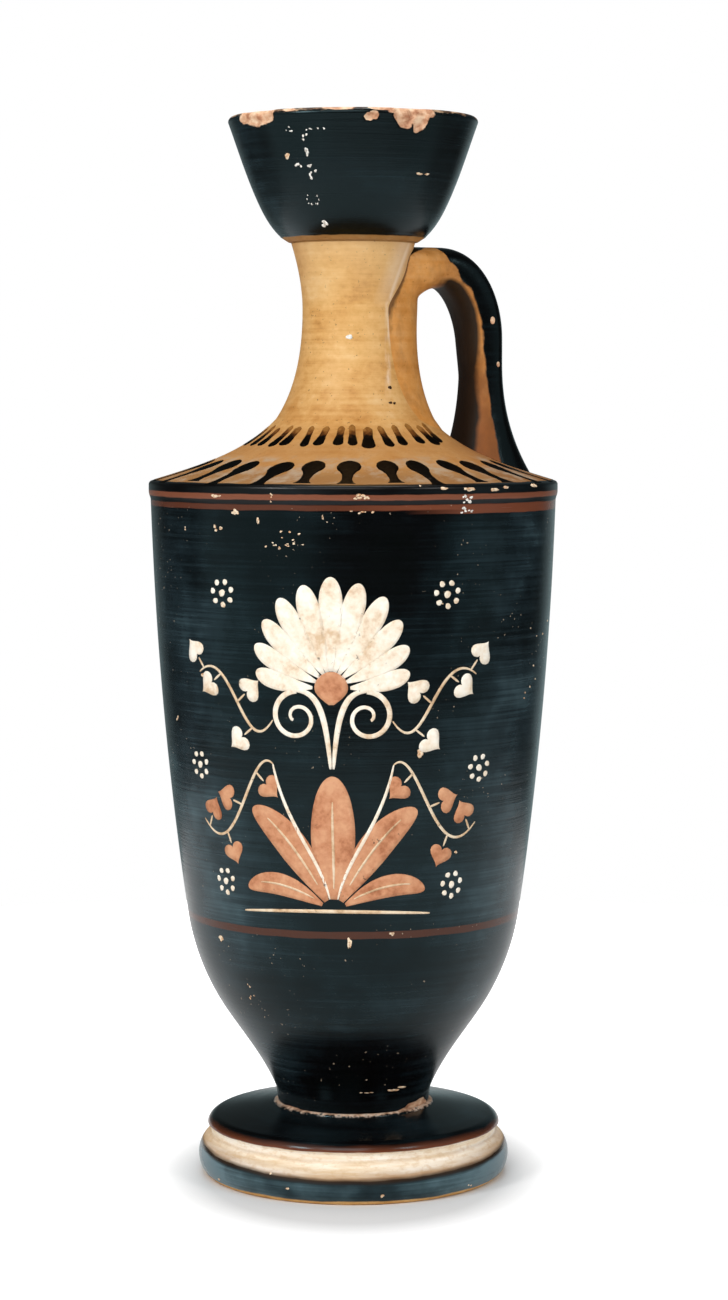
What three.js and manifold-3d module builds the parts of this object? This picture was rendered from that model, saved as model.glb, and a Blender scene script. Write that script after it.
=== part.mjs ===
// A shoulder lekythos: a wheel-thrown clay oil jar with a cup-shaped mouth, a waisted neck, a sloping
// shoulder, a tall tapering body, a strap handle and a broad foot in two degrees.
// Units are millimetres and +Z is up. The wheel's axis is the Z axis, the jar stands on z = 0 and its
// handle lies over +X. Each part is thrown or pulled by itself, then luted to the next with slip.

import * as THREE from "three";
import { mergeVertices } from "three/addons/utils/BufferGeometryUtils.js";
import Module from "manifold-3d";

// Foot: a spreading roll, a groove above it, and a thin disc that slopes up to the stem.
const footRestRadius = 41.6;
const footRestWidth = 8;
const footHollowDepth = 9;
const footHollowRadius = 9;
const rollRadius = 44.5;
const rollHeight = 11.8;
const grooveRadius = 40.8;
const grooveHeight = 2.6;
const discRadius = 41.9;
const discEdgeHeight = 2.9;
const discTopRise = 2.8;
const restLean = 68;
const rollTopLean = -70;
const discTopLean = -84;
const socketDepth = 1;
const collarWidth = 1.2;
const collarHeight = 0.8;
const collarFootLean = -10;
const collarTopLean = -70;

// Body: a short stem that opens into a cone, a turn, and a long wall that widens to the shoulder.
const stemFootRadius = 21.6;
const stemRadius = 22.2;
const stemHeight = 5.6;
const coneRadius = 36.4;
const coneHeight = 22.9;
const bellyRadius = 47.3;
const bellyHeight = 28;
const wallRadius = 57.4;
const wallHeight = 117.6;
const stemLean = 22;
const coneLean = 34;
const bellyLean = 8.3;
const wallLean = 1.8;
const bodyWall = 4.2;
const bodyFloor = 7;

// Shoulder: a turned edge that stands a little proud of the wall, and a hollow-curved slope.
const edgeProud = 0.55;
const edgeRadius = wallRadius + edgeProud;
const edgeHeight = 5.2;
const edgeRounding = 1.4;
const shoulderRise = 17.3;
const edgeLean = -73;
const shoulderLean = -43;
const shoulderWall = 4.4;

// Neck: a waisted tube.
const neckFootRadius = 21.9;
const neckWaistRadius = 14.35;
const neckTopRadius = 17.45;
const waistHeight = 30.6;
const neckUpperHeight = 18.5;
const neckFootLean = 34;
const neckTopLean = 17;
const neckWall = 4.6;

// Mouth: a deep cup with a bevelled fillet underneath and a flat lip.
const filletRadius = 20.5;
const filletHeight = 2.2;
const bowlRadius = 28.1;
const bowlHeight = 12.2;
const bowlFootLean = 47;
const bowlLean = 23;
const lipRadius = 35.2;
const lipHeight = 19.3;
const lipLean = 20;
const lipRounding = 1.6;
const mouthWall = 4.6;
const throatDepth = 4;
const throatFlare = 1;

// Handle: a strap that leaves the neck level, turns down and spreads on the shoulder. A tongue of
// the same clay is pressed down the neck under it.
const strapThickness = 9.8;
const strapWidth = 17.6;
const strapSquareness = 2.5;
const strapReach = 45.3;
const bendReach = 17.3;
const bendDrop = 22.4;
const strapClearance = 0.5;
const strapRootUnder = 7.5;
const strapRootWidening = 2;
const strapRootPower = 2;
const bendSwell = 2.4;
const bendSwellLength = 52;
const footSpreadHeight = 36;
const footSpreadOut = 12;
const footSpreadIn = 8.5;
const footSpreadSide = 4;
const footSpreadPower = 2.2;
const tongueLift = 4.6;
const tongueLength = 52;
const tongueWrapTop = 0.7;
const tongueWrap = 0.97;
const lutingGap = 0.3;

// The lip's rounding ends level, a quarter of a turn round from the wall.
const quarterTurn = 90;

// How finely the round forms are divided.
const turnSteps = 52;
const strapSections = 26;
const strapSides = 20;

// Heights of the joints above the resting plane.
const discUnderZ = rollHeight + grooveHeight;
const discTopZ = discUnderZ + discEdgeHeight;
const footTopZ = discTopZ + discTopRise;
const collarZ = footTopZ + collarHeight;
const bodyZ = footTopZ - socketDepth;
const stemZ = bodyZ + stemHeight;
const coneZ = stemZ + coneHeight;
const bellyZ = coneZ + bellyHeight;
const shoulderZ = bellyZ + wallHeight;
const edgeZ = shoulderZ + edgeHeight;
const neckZ = edgeZ + shoulderRise;
const waistZ = neckZ + waistHeight;
const mouthZ = waistZ + neckUpperHeight;
const filletZ = mouthZ + filletHeight;
const bowlZ = filletZ + bowlHeight;
const lipZ = bowlZ + lipHeight;
const topZ = lipZ + lipRounding;

const wasm = await Module();
wasm.setup();

const at = (radius, z) => new THREE.Vector2(radius, z);

// The direction that leans out from straight up by an angle in degrees.
function lean(degrees) {
  const angle = THREE.MathUtils.degToRad(degrees);
  return at(Math.sin(angle), Math.cos(angle));
}

// A thrown curve in the profile plane that leaves and arrives at the given leans.
function thrown(from, leanFrom, to, leanTo, steps) {
  const pull = from.distanceTo(to) / 3;
  const first = from.clone().addScaledVector(lean(leanFrom), pull);
  const second = to.clone().addScaledVector(lean(leanTo), -pull);
  return new THREE.CubicBezierCurve(from, first, second, to).getPoints(steps);
}

// A turned rounding in the profile plane. Angles are in degrees up from straight outwards.
function rounding(centre, radius, fromAngle, toAngle, steps) {
  const points = [];
  for (let i = 0; i <= steps; i++) {
    const angle = THREE.MathUtils.degToRad(THREE.MathUtils.lerp(fromAngle, toAngle, i / steps));
    points.push(at(centre.x + radius * Math.cos(angle), centre.y + radius * Math.sin(angle)));
  }
  return points;
}

function withoutRepeats(points) {
  return points.filter((point, i) => i === 0 || point.distanceTo(points[i - 1]) > 1e-4);
}

// The inner face of a wall: the outline moved in square to itself, listed the other way round.
function innerFace(outline, wall) {
  const points = withoutRepeats(outline);
  const moved = points.map((point, i) => {
    const before = points[Math.max(i - 1, 0)];
    const after = points[Math.min(i + 1, points.length - 1)];
    const along = after.clone().sub(before).normalize();
    return at(point.x - along.y * wall, point.y + along.x * wall);
  });
  return moved.reverse();
}

// Turns a profile about the Z axis. One that doesn't end on the axis is closed on itself.
function turned(profile) {
  const points = withoutRepeats(profile);
  const first = points[0];
  const last = points[points.length - 1];
  const endsOnAxis = first.x === 0 && last.x === 0;
  const closed = endsOnAxis ? points : [...points, first.clone()];
  return new THREE.LatheGeometry(closed, turnSteps).rotateX(Math.PI / 2);
}

// Outlines of the outer faces, from the bottom up.
function bodyOutline() {
  const stemTop = at(stemRadius, stemZ);
  const coneTop = at(coneRadius, coneZ);
  const bellyTop = at(bellyRadius, bellyZ);
  const wallTop = at(wallRadius, shoulderZ);
  return [
    ...thrown(stemTop, stemLean, coneTop, coneLean, 4),
    ...thrown(coneTop, coneLean, bellyTop, bellyLean, 5),
    ...thrown(bellyTop, bellyLean, wallTop, wallLean, 5),
  ];
}

function shoulderEdge() {
  const corner = at(edgeRadius - edgeRounding, edgeZ - edgeRounding);
  return rounding(corner, edgeRounding, 0, -edgeLean, 3);
}

function shoulderSlope() {
  return thrown(shoulderEdge().at(-1), edgeLean, at(neckFootRadius, neckZ), shoulderLean, 8);
}

function neckOutline() {
  const foot = at(neckFootRadius, neckZ);
  const waist = at(neckWaistRadius, waistZ);
  const top = at(neckTopRadius, mouthZ);
  return [...thrown(foot, -neckFootLean, waist, 0, 6), ...thrown(waist, 0, top, neckTopLean, 4)];
}

function mouthOutline() {
  const fillet = at(filletRadius, filletZ);
  const bowl = at(bowlRadius, bowlZ);
  const lip = at(lipRadius, lipZ);
  return [
    at(neckTopRadius, mouthZ),
    ...thrown(fillet, bowlFootLean, bowl, bowlLean, 5),
    ...thrown(bowl, bowlLean, lip, lipLean, 3),
  ];
}

function makeFoot() {
  const socketRadius = stemFootRadius + lutingGap;
  const collarFoot = at(socketRadius + collarWidth, footTopZ);
  const restEdge = at(footRestRadius, 0);
  const rollEdge = at(rollRadius, rollHeight / 2);
  const discEdge = at(discRadius, discUnderZ);
  return turned([
    at(0, footHollowDepth),
    at(footHollowRadius, footHollowDepth),
    at(footRestRadius - footRestWidth, 0),
    ...thrown(restEdge, restLean, rollEdge, 0, 3),
    ...thrown(rollEdge, 0, at(grooveRadius, rollHeight), rollTopLean, 4),
    at(grooveRadius, discUnderZ),
    ...thrown(discEdge, 0, at(discRadius - discEdgeHeight, discTopZ), discTopLean, 4),
    ...thrown(collarFoot, collarFootLean, at(socketRadius, collarZ), collarTopLean, 2),
    at(socketRadius, bodyZ),
    at(0, bodyZ),
  ]);
}

function makeBody() {
  const outline = bodyOutline();
  const inner = innerFace(outline, bodyWall).filter(
    (point) => point.y > bodyZ + bodyFloor && point.y < shoulderZ,
  );
  return turned([
    at(0, bodyZ),
    at(stemFootRadius, bodyZ),
    at(stemFootRadius, collarZ),
    ...outline,
    at(wallRadius - bodyWall, shoulderZ),
    ...inner,
    at(0, bodyZ + bodyFloor),
  ]);
}

function makeShoulder() {
  const slope = shoulderSlope();
  const boreRadius = neckFootRadius - neckWall;
  const inner = innerFace(slope, shoulderWall).filter(
    (point) => point.x > boreRadius && point.x < wallRadius - bodyWall && point.y < neckZ,
  );
  return turned([
    at(wallRadius, shoulderZ),
    ...shoulderEdge(),
    ...slope,
    at(boreRadius, neckZ),
    ...inner,
    at(wallRadius - bodyWall, shoulderZ),
  ]);
}

function makeNeck() {
  const outline = neckOutline();
  const inner = innerFace(outline, neckWall).filter((point) => point.y > neckZ && point.y < mouthZ);
  return turned([
    ...outline,
    at(neckTopRadius - neckWall, mouthZ),
    ...inner,
    at(neckFootRadius - neckWall, neckZ),
  ]);
}

function makeMouth() {
  const outline = mouthOutline();
  const lipCentre = at(lipRadius - lipRounding, lipZ);
  const throat = at(neckTopRadius - neckWall, mouthZ);
  const bowlFloor = at(throat.x + throatFlare, mouthZ + throatDepth);
  const inner = innerFace(outline, mouthWall).filter(
    (point) => point.y > bowlFloor.y && point.x > bowlFloor.x && point.y < lipZ,
  );
  return turned([
    ...outline,
    ...rounding(lipCentre, lipRounding, 0, quarterTurn, 3),
    at(lipRadius - mouthWall, topZ),
    ...inner,
    bowlFloor,
    throat,
  ]);
}

// A closed geometry as a solid that can be joined and cut. Triangles shrunk to a line on the axis go.
function solid(geometry) {
  const bare = geometry.clone();
  bare.deleteAttribute("normal");
  bare.deleteAttribute("uv");
  const merged = mergeVertices(bare, 1e-4);
  const corners = merged.index.array;
  const kept = [];
  for (let i = 0; i < corners.length; i += 3) {
    const [a, b, c] = corners.slice(i, i + 3);
    if (a !== b && b !== c && c !== a) kept.push(a, b, c);
  }
  const vertProperties = new Float32Array(merged.attributes.position.array);
  return new wasm.Manifold(new wasm.Mesh({ numProp: 3, vertProperties, triVerts: new Uint32Array(kept) }));
}

function geometryOf(manifold) {
  const mesh = manifold.getMesh();
  const geometry = new THREE.BufferGeometry();
  geometry.setAttribute("position", new THREE.BufferAttribute(new Float32Array(mesh.vertProperties), 3));
  geometry.setIndex(new THREE.BufferAttribute(new Uint32Array(mesh.triVerts), 1));
  geometry.computeVertexNormals();
  return geometry;
}

// Skins a row of rings that have the same number of points, and closes both ends.
function skinned(rings) {
  const sides = rings[0].length;
  const added = (ring) => ring.reduce((sum, point) => sum.add(point), new THREE.Vector3());
  const middle = (ring) => added(ring).divideScalar(sides);
  const points = [...rings.flat(), middle(rings[0]), middle(rings[rings.length - 1])];
  const triangles = [];
  for (let side = 0; side < sides; side++) {
    const next = (side + 1) % sides;
    for (let ring = 0; ring + 1 < rings.length; ring++) {
      const low = ring * sides;
      const high = low + sides;
      triangles.push(low + side, low + next, high + next, low + side, high + next, high + side);
    }
    const last = (rings.length - 1) * sides;
    triangles.push(points.length - 2, next, side, points.length - 1, last + side, last + next);
  }
  const geometry = new THREE.BufferGeometry().setFromPoints(points);
  geometry.setIndex(triangles);
  return geometry;
}

// The middle line of the strap, in the plane through the wheel's axis.
function strapLine() {
  const half = strapThickness / 2;
  const topZOfStrap = mouthZ - strapClearance;
  const bendCentre = at(strapReach - bendReach, topZOfStrap - bendDrop);
  const start = at(neckWaistRadius - neckWall / 2, topZOfStrap - half);
  const bendStart = at(bendCentre.x, start.y);
  const bendEnd = at(strapReach - half, bendCentre.y);
  const end = at(bendEnd.x, edgeZ - shoulderWall / 2);
  const bend = new THREE.EllipseCurve(
    bendCentre.x,
    bendCentre.y,
    bendReach - half,
    bendDrop - half,
    Math.PI / 2,
    0,
    true,
  );
  const line = new THREE.CurvePath();
  line.add(new THREE.LineCurve(start, bendStart));
  line.add(bend);
  line.add(new THREE.LineCurve(bendEnd, end));
  return { line, start, bendStart, end };
}

// One section across the strap: flatter than an ellipse, and swollen where it is luted on.
function strapRing(centre, along, thickOut, thickIn, halfWidth) {
  const outwards = at(-along.y, along.x);
  const ring = [];
  for (let i = 0; i < strapSides; i++) {
    const angle = (i / strapSides) * 2 * Math.PI;
    const squared = (value) => Math.sign(value) * Math.abs(value) ** (2 / strapSquareness);
    const up = squared(Math.cos(angle));
    const thick = up * (up > 0 ? thickOut : thickIn);
    const across = -squared(Math.sin(angle)) * halfWidth;
    const point = centre.clone().addScaledVector(outwards, thick);
    ring.push(new THREE.Vector3(point.x, across, point.y));
  }
  return ring;
}

function strapSolid() {
  const { line, start, bendStart, end } = strapLine();
  const half = strapThickness / 2;
  const length = line.getLength();
  const rings = [];
  for (let i = 0; i <= strapSections; i++) {
    const centre = line.getPoint(i / strapSections);
    const along = line.getTangent(i / strapSections);
    const nearRoot = THREE.MathUtils.clamp((bendStart.x - centre.x) / (bendStart.x - start.x), 0, 1);
    const nearFoot = THREE.MathUtils.clamp(1 - (centre.y - end.y) / footSpreadHeight, 0, 1);
    const spread = nearFoot ** footSpreadPower;
    const out = half + spread * footSpreadOut;
    const overSwell = Math.min(1, ((i / strapSections) * length) / bendSwellLength);
    const swell = bendSwell * Math.sin(Math.PI * overSwell);
    const under = half + swell + spread * footSpreadIn + nearRoot ** strapRootPower * strapRootUnder;
    const side = strapWidth / 2 + spread * footSpreadSide + nearRoot * strapRootWidening;
    rings.push(strapRing(centre, along, out, under, side));
  }
  return solid(skinned(rings));
}

// How far out the tongue comes in one direction: lifted most over +X, and inside the neck behind.
function tongueRadius(neckRadius, lift, wrap, angle) {
  if (Math.cos(angle) <= 0) return neckRadius * wrap;
  const over = Math.cos(angle) / (neckRadius + lift);
  const across = Math.sin(angle) / (neckRadius * wrap);
  return 1 / Math.hypot(over, across);
}

function tongueRing(point) {
  const lowest = mouthZ - tongueLength;
  const rise = THREE.MathUtils.clamp((point.y - lowest) / (waistZ - lowest), 0, 1);
  const nearTop = THREE.MathUtils.smoothstep(point.y, waistZ, mouthZ);
  const lift = tongueLift * Math.sqrt(rise);
  const wrap = THREE.MathUtils.lerp(tongueWrap, tongueWrapTop, nearTop);
  const ring = [];
  for (let i = 0; i < turnSteps; i++) {
    const angle = (i / turnSteps) * 2 * Math.PI;
    const radius = tongueRadius(point.x, lift, wrap, angle);
    ring.push(new THREE.Vector3(radius * Math.cos(angle), radius * Math.sin(angle), point.y));
  }
  return ring;
}

function tongueSolid() {
  const outline = [...shoulderSlope().slice(-3), ...neckOutline().slice(1)];
  const underStrap = outline.filter((point) => point.y < mouthZ - strapThickness / 2);
  return solid(skinned(underStrap.map(tongueRing)));
}

// What the handle is pressed against: shoulder, neck and mouth, grown by the slip between them.
function lutedForm() {
  const outline = [...shoulderEdge(), ...shoulderSlope(), ...neckOutline().slice(1)];
  const profile = [
    at(0, shoulderZ),
    at(edgeRadius + lutingGap, shoulderZ),
    ...innerFace(outline, -lutingGap).reverse(),
    at(filletRadius + lutingGap, mouthZ),
    at(filletRadius + lutingGap, topZ),
    at(0, topZ),
  ];
  return solid(turned(profile));
}

function makeHandle() {
  return geometryOf(strapSolid().add(tongueSolid()).subtract(lutedForm()));
}

function glazed(color, roughness) {
  return new THREE.MeshStandardMaterial({ color, roughness, metalness: 0, side: THREE.FrontSide });
}

const blackGloss = glazed(0x15191b, 0.35);
const reservedClay = glazed(0xc98f52, 0.7);

function part(name, geometry, material) {
  const mesh = new THREE.Mesh(geometry, material);
  mesh.name = name;
  return mesh;
}

const oilJar = new THREE.Group();
oilJar.name = "oil_jar";
oilJar.add(
  part("foot", makeFoot(), blackGloss),
  part("body", makeBody(), blackGloss),
  part("shoulder", makeShoulder(), reservedClay),
  part("neck", makeNeck(), reservedClay),
  part("mouth", makeMouth(), blackGloss),
  part("handle", makeHandle(), blackGloss),
);

export default oilJar;
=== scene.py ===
# A black-gloss oil jar with a reserved clay neck and shoulder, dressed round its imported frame.
# Lengths in the sections are in millimetres of the real jar and turned to metres when a mesh is made.
import math
import random

import bpy
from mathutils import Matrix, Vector


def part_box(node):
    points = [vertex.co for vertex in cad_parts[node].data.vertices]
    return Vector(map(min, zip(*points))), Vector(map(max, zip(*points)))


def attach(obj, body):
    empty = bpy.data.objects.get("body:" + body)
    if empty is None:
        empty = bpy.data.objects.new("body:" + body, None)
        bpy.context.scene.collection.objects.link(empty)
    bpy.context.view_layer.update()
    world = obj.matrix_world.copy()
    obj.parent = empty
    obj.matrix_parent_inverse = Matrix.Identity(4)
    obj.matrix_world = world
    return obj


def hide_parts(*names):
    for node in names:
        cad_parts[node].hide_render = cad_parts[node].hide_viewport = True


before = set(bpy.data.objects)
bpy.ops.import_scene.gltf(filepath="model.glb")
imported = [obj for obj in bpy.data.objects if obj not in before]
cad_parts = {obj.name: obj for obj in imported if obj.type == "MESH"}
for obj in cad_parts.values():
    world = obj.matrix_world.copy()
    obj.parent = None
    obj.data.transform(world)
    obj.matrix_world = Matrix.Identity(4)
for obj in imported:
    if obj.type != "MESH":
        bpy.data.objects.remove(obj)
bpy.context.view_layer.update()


# The foot: a thrown clay disc in two degrees, a spreading roll with a thin disc above a groove.
# It was luted under the stem. The roll and the top are brushed with gloss, the groove is left pale
# and the underside is bare clay.
MM = 0.001
foot_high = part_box("foot")[1]
foot_rest_radius = 41.6
foot_rest_width = 8.0
foot_hollow_depth = 9.0
foot_hollow_radius = 9.0
roll_radius = foot_high.x / MM - 0.02
roll_height = 11.8
roll_groove_radius = 41.3
groove_radius = 40.9
groove_height = 2.6
disc_radius = 41.85
disc_edge_height = 2.9
disc_rise = 2.8
socket_depth = 1.0
stem_foot_radius = 21.6
collar_width = 1.2
collar_height = 0.8
foot_top = roll_height + groove_height + disc_edge_height + disc_rise
steps_round = 384
wheel_wobble = 0.12
wobble_scale = 18.0
sharp_degrees = 32


def lean(degrees):
    """A step of one millimetre that leans out from straight up."""
    return Vector((math.sin(math.radians(degrees)), math.cos(math.radians(degrees))))


def thrown(start, lean_start, end, lean_end, steps):
    """A thrown curve of the profile that leaves and arrives at the given leans."""
    start, end = Vector(start), Vector(end)
    pull = (end - start).length / 3
    first = start + lean(lean_start) * pull
    second = end - lean(lean_end) * pull
    points = []
    for i in range(steps + 1):
        t = i / steps
        u = 1 - t
        points.append(u**3 * start + 3 * u * u * t * first + 3 * u * t * t * second + t**3 * end)
    return points


def straight(start, end, steps):
    """A straight stretch of the profile, cut into equal steps."""
    return [Vector(start).lerp(Vector(end), i / steps) for i in range(steps + 1)]


def rounding(centre, radius, start, end, steps):
    """A turned rounding. Angles are in degrees up from straight outwards."""
    angles = [math.radians(start + (end - start) * i / steps) for i in range(steps + 1)]
    return [Vector(centre) + radius * Vector((math.cos(a), math.sin(a))) for a in angles]


def inner_face(outline, wall):
    """The outline moved square to itself by the wall, listed the other way round."""
    moved = []
    for i, point in enumerate(outline):
        along = (outline[min(i + 1, len(outline) - 1)] - outline[max(i - 1, 0)]).normalized()
        moved.append(Vector((point.x - along.y * wall, point.y + along.x * wall)))
    return moved[::-1]


class Reading:
    """What one socket of a node gives out. Arithmetic with readings adds the nodes that work it out."""

    def __init__(self, tree, socket):
        self.tree, self.socket = tree, socket

    def __getitem__(self, key):
        return Reading(self.tree, self.socket.node.outputs[key])

    def __add__(self, other):
        return add(self.tree, "ShaderNodeMath", (self, other), operation="ADD")

    def __radd__(self, other):
        return add(self.tree, "ShaderNodeMath", (other, self), operation="ADD")

    def __sub__(self, other):
        return add(self.tree, "ShaderNodeMath", (self, other), operation="SUBTRACT")

    def __rsub__(self, other):
        return add(self.tree, "ShaderNodeMath", (other, self), operation="SUBTRACT")

    def __mul__(self, other):
        return add(self.tree, "ShaderNodeMath", (self, other), operation="MULTIPLY")

    def __truediv__(self, other):
        return add(self.tree, "ShaderNodeMath", (self, other), operation="DIVIDE")


def feed(tree, node, inputs):
    """Gives a node its inputs, by name or in their order. A reading is linked and a value is set."""
    for key, value in inputs.items() if isinstance(inputs, dict) else enumerate(inputs):
        if isinstance(value, Reading):
            tree.links.new(value.socket, node.inputs[key])
        else:
            node.inputs[key].default_value = value


def add(tree, kind, inputs=(), stops=(), **settings):
    """Adds a node with its settings and links, and gives its first output as a reading.

    Stops are the places and hex colours of a colour ramp.
    """
    node = tree.nodes.new(kind)
    for name, value in settings.items():
        setattr(node, name, value)
    feed(tree, node, inputs)
    if stops:
        elements = node.color_ramp.elements
        for element, (place, code) in zip(list(elements), (stops[0], stops[-1])):
            element.position, element.color = place, colour(code)
        for place, code in stops[1:-1]:
            elements.new(place).color = colour(code)
    return Reading(tree, node.outputs[0]) if node.outputs else node


def new_tree(name, **inputs):
    """An empty Geometry Nodes tree with a mesh in, a mesh out and named inputs."""
    tree = bpy.data.node_groups.new(name, "GeometryNodeTree")
    tree.interface.new_socket("Geometry", in_out="INPUT", socket_type="NodeSocketGeometry")
    tree.interface.new_socket("Geometry", in_out="OUTPUT", socket_type="NodeSocketGeometry")
    for label, kind in inputs.items():
        tree.interface.new_socket(label.replace("_", " "), in_out="INPUT", socket_type=kind)
    return tree


def finished(tree, shape, finish):
    """Ends a tree: its shape made real and given its material."""
    real = add(tree, "GeometryNodeRealizeInstances", {"Geometry": shape})
    coated = add(tree, "GeometryNodeSetMaterial", {"Geometry": real, "Material": finish})
    add(tree, "NodeGroupOutput", {0: coated})
    return tree


def wheel_tree():
    """Turns a profile about the upright axis, as the potter's wheel does, a little out of true."""
    tree = new_tree(
        "turned on the wheel",
        Steps_Round="NodeSocketInt",
        Wobble="NodeSocketFloat",
        Wobble_Scale="NodeSocketFloat",
        Sharp_Angle="NodeSocketFloat",
        Finish="NodeSocketMaterial",
    )
    given = add(tree, "NodeGroupInput")
    count = add(tree, "GeometryNodeAttributeDomainSize", {"Geometry": given["Geometry"]})["Point Count"]
    columns = given["Steps Round"] + 1.0
    grid = add(tree, "GeometryNodeMeshGrid", {"Vertices X": columns, "Vertices Y": count})["Mesh"]
    index = add(tree, "GeometryNodeInputIndex")
    column = add(tree, "ShaderNodeMath", ((index + 0.5) / count,), operation="FLOOR")
    row = index - column * count
    position = add(tree, "GeometryNodeInputPosition")
    sampled = add(
        tree,
        "GeometryNodeSampleIndex",
        {"Geometry": given["Geometry"], "Value": position, "Index": row},
        data_type="FLOAT_VECTOR",
    )
    profile = add(tree, "ShaderNodeSeparateXYZ", {0: sampled})
    turn = column / given["Steps Round"]
    angle = add(tree, "ShaderNodeMath", (turn,), operation="FRACT") * (2 * math.pi)
    cosine = add(tree, "ShaderNodeMath", (angle,), operation="COSINE")
    sine = add(tree, "ShaderNodeMath", (angle,), operation="SINE")
    true_place = add(
        tree, "ShaderNodeCombineXYZ", {0: profile[0] * cosine, 1: profile[0] * sine, 2: profile[2]}
    )
    noise = add(
        tree, "ShaderNodeTexNoise", {"Vector": true_place, "Scale": given["Wobble Scale"], "Detail": 1.0}
    )
    radius = profile[0] - noise * given["Wobble"]
    radius = add(tree, "ShaderNodeMath", (radius, 0.0), operation="MAXIMUM")
    place = add(tree, "ShaderNodeCombineXYZ", {0: radius * cosine, 1: radius * sine, 2: profile[2]})
    shaped = add(tree, "GeometryNodeSetPosition", {"Geometry": grid, "Position": place})
    closed = add(tree, "GeometryNodeMergeByDistance", {"Geometry": shaped, "Distance": 2e-6})
    smooth = add(tree, "GeometryNodeSetShadeSmooth", {"Geometry": closed, "Shade Smooth": True})
    bend = add(tree, "GeometryNodeInputMeshEdgeAngle")["Unsigned Angle"]
    sharp = add(tree, "FunctionNodeCompare", {0: bend, 1: given["Sharp Angle"]}, operation="GREATER_THAN")
    creased = add(
        tree,
        "GeometryNodeSetShadeSmooth",
        {"Geometry": smooth, "Selection": sharp, "Shade Smooth": False},
        domain="EDGE",
    )
    return finished(tree, creased, given["Finish"])


def from_nodes(name, mesh, tree, **values):
    """Runs a tree on a mesh once and keeps the result as a plain piece at the origin."""
    source = bpy.data.objects.new(name + "_source", mesh)
    bpy.context.scene.collection.objects.link(source)
    modifier = source.modifiers.new("nodes", "NODES")
    modifier.node_group = tree
    for item in tree.interface.items_tree:
        label = item.name.replace(" ", "_")
        if item.in_out == "INPUT" and label in values:
            modifier[item.identifier] = values[label]
    depsgraph = bpy.context.evaluated_depsgraph_get()
    made = bpy.data.meshes.new_from_object(source.evaluated_get(depsgraph), depsgraph=depsgraph)
    source.modifiers.remove(modifier)
    bpy.data.objects.remove(source)
    made.name = name
    piece = bpy.data.objects.new(name, made)
    bpy.context.scene.collection.objects.link(piece)
    return piece


wheel = wheel_tree()


def turned(name, profile, finish, steps=steps_round):
    """A thrown piece from its closed profile in millimetres."""
    points = [profile[0]]
    for point in profile[1:]:
        if (point - points[-1]).length > 1e-3:
            points.append(point)
    mesh = bpy.data.meshes.new(name + "_profile")
    edges = [(i, i + 1) for i in range(len(points) - 1)]
    mesh.from_pydata([(p.x * MM, 0, p.y * MM) for p in points], edges, [])
    return from_nodes(
        name,
        mesh,
        wheel,
        Steps_Round=steps,
        Wobble=wheel_wobble * MM,
        Wobble_Scale=wobble_scale,
        Sharp_Angle=math.radians(sharp_degrees),
        Finish=finish,
    )


def colour(code):
    """An sRGB hex colour as the linear colour that a shader takes."""
    channels = [int(code[i : i + 2], 16) / 255 for i in (1, 3, 5)]
    linear = [c / 12.92 if c <= 0.04045 else ((c + 0.055) / 1.055) ** 2.4 for c in channels]
    return (*linear, 1.0)


def new_surface(name, ior, specular, tint=(1, 1, 1, 1)):
    """A material, its tree, its shader and the place on the jar in millimetres."""
    material = bpy.data.materials.new(name)
    material.use_nodes = True
    tree = material.node_tree
    tree.nodes.clear()
    shine = {"IOR": ior, "Specular IOR Level": specular, "Specular Tint": tint}
    shader = add(tree, "ShaderNodeBsdfPrincipled", shine)
    add(tree, "ShaderNodeOutputMaterial", {"Surface": shader})
    place = add(tree, "ShaderNodeTexCoord")["Object"]
    millimetres = add(tree, "ShaderNodeVectorMath", {0: place, 3: 1 / MM}, operation="SCALE")
    return material, tree, shader.socket.node, millimetres


def noise_at(tree, place, stretch, detail=2.0, roughness=0.5):
    """Smooth noise with one bump in each stretch of millimetres along X, Y and Z."""
    scaled = add(
        tree, "ShaderNodeVectorMath", {0: place, 1: [1 / size for size in stretch]}, operation="MULTIPLY"
    )
    inputs = {"Vector": scaled, "Scale": 1.0, "Detail": detail, "Roughness": roughness}
    return add(tree, "ShaderNodeTexNoise", inputs)


def between(tree, value, low, high, soft):
    """One where the value lies between two limits, with a soft edge, and nought elsewhere."""
    rise = add(tree, "ShaderNodeMapRange", {0: value, 1: low - soft, 2: low + soft})
    fall = add(tree, "ShaderNodeMapRange", {0: value, 1: high + soft, 2: high - soft})
    return rise * fall


def layered(tree, under, *layers):
    """Finishes laid over one another. A layer is a mask and the colour that shows where it is one."""
    for mask, over in layers:
        over = colour(over) if isinstance(over, str) else over
        under = add(tree, "ShaderNodeMix", {0: mask, 6: under, 7: over}, data_type="RGBA")[2]
    return under


def from_axis(tree, axes):
    """How far a place lies from the upright axis."""
    squares = axes[0] * axes[0] + axes[1] * axes[1]
    return add(tree, "ShaderNodeMath", (squares,), operation="SQRT")


def towards(tree, place, degrees):
    """How far a place lies, in millimetres, in the direction some degrees round from the handle."""
    way = (math.cos(math.radians(degrees)), math.sin(math.radians(degrees)), 0)
    return add(tree, "ShaderNodeVectorMath", {0: place, 1: way}, operation="DOT_PRODUCT")["Value"]


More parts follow.
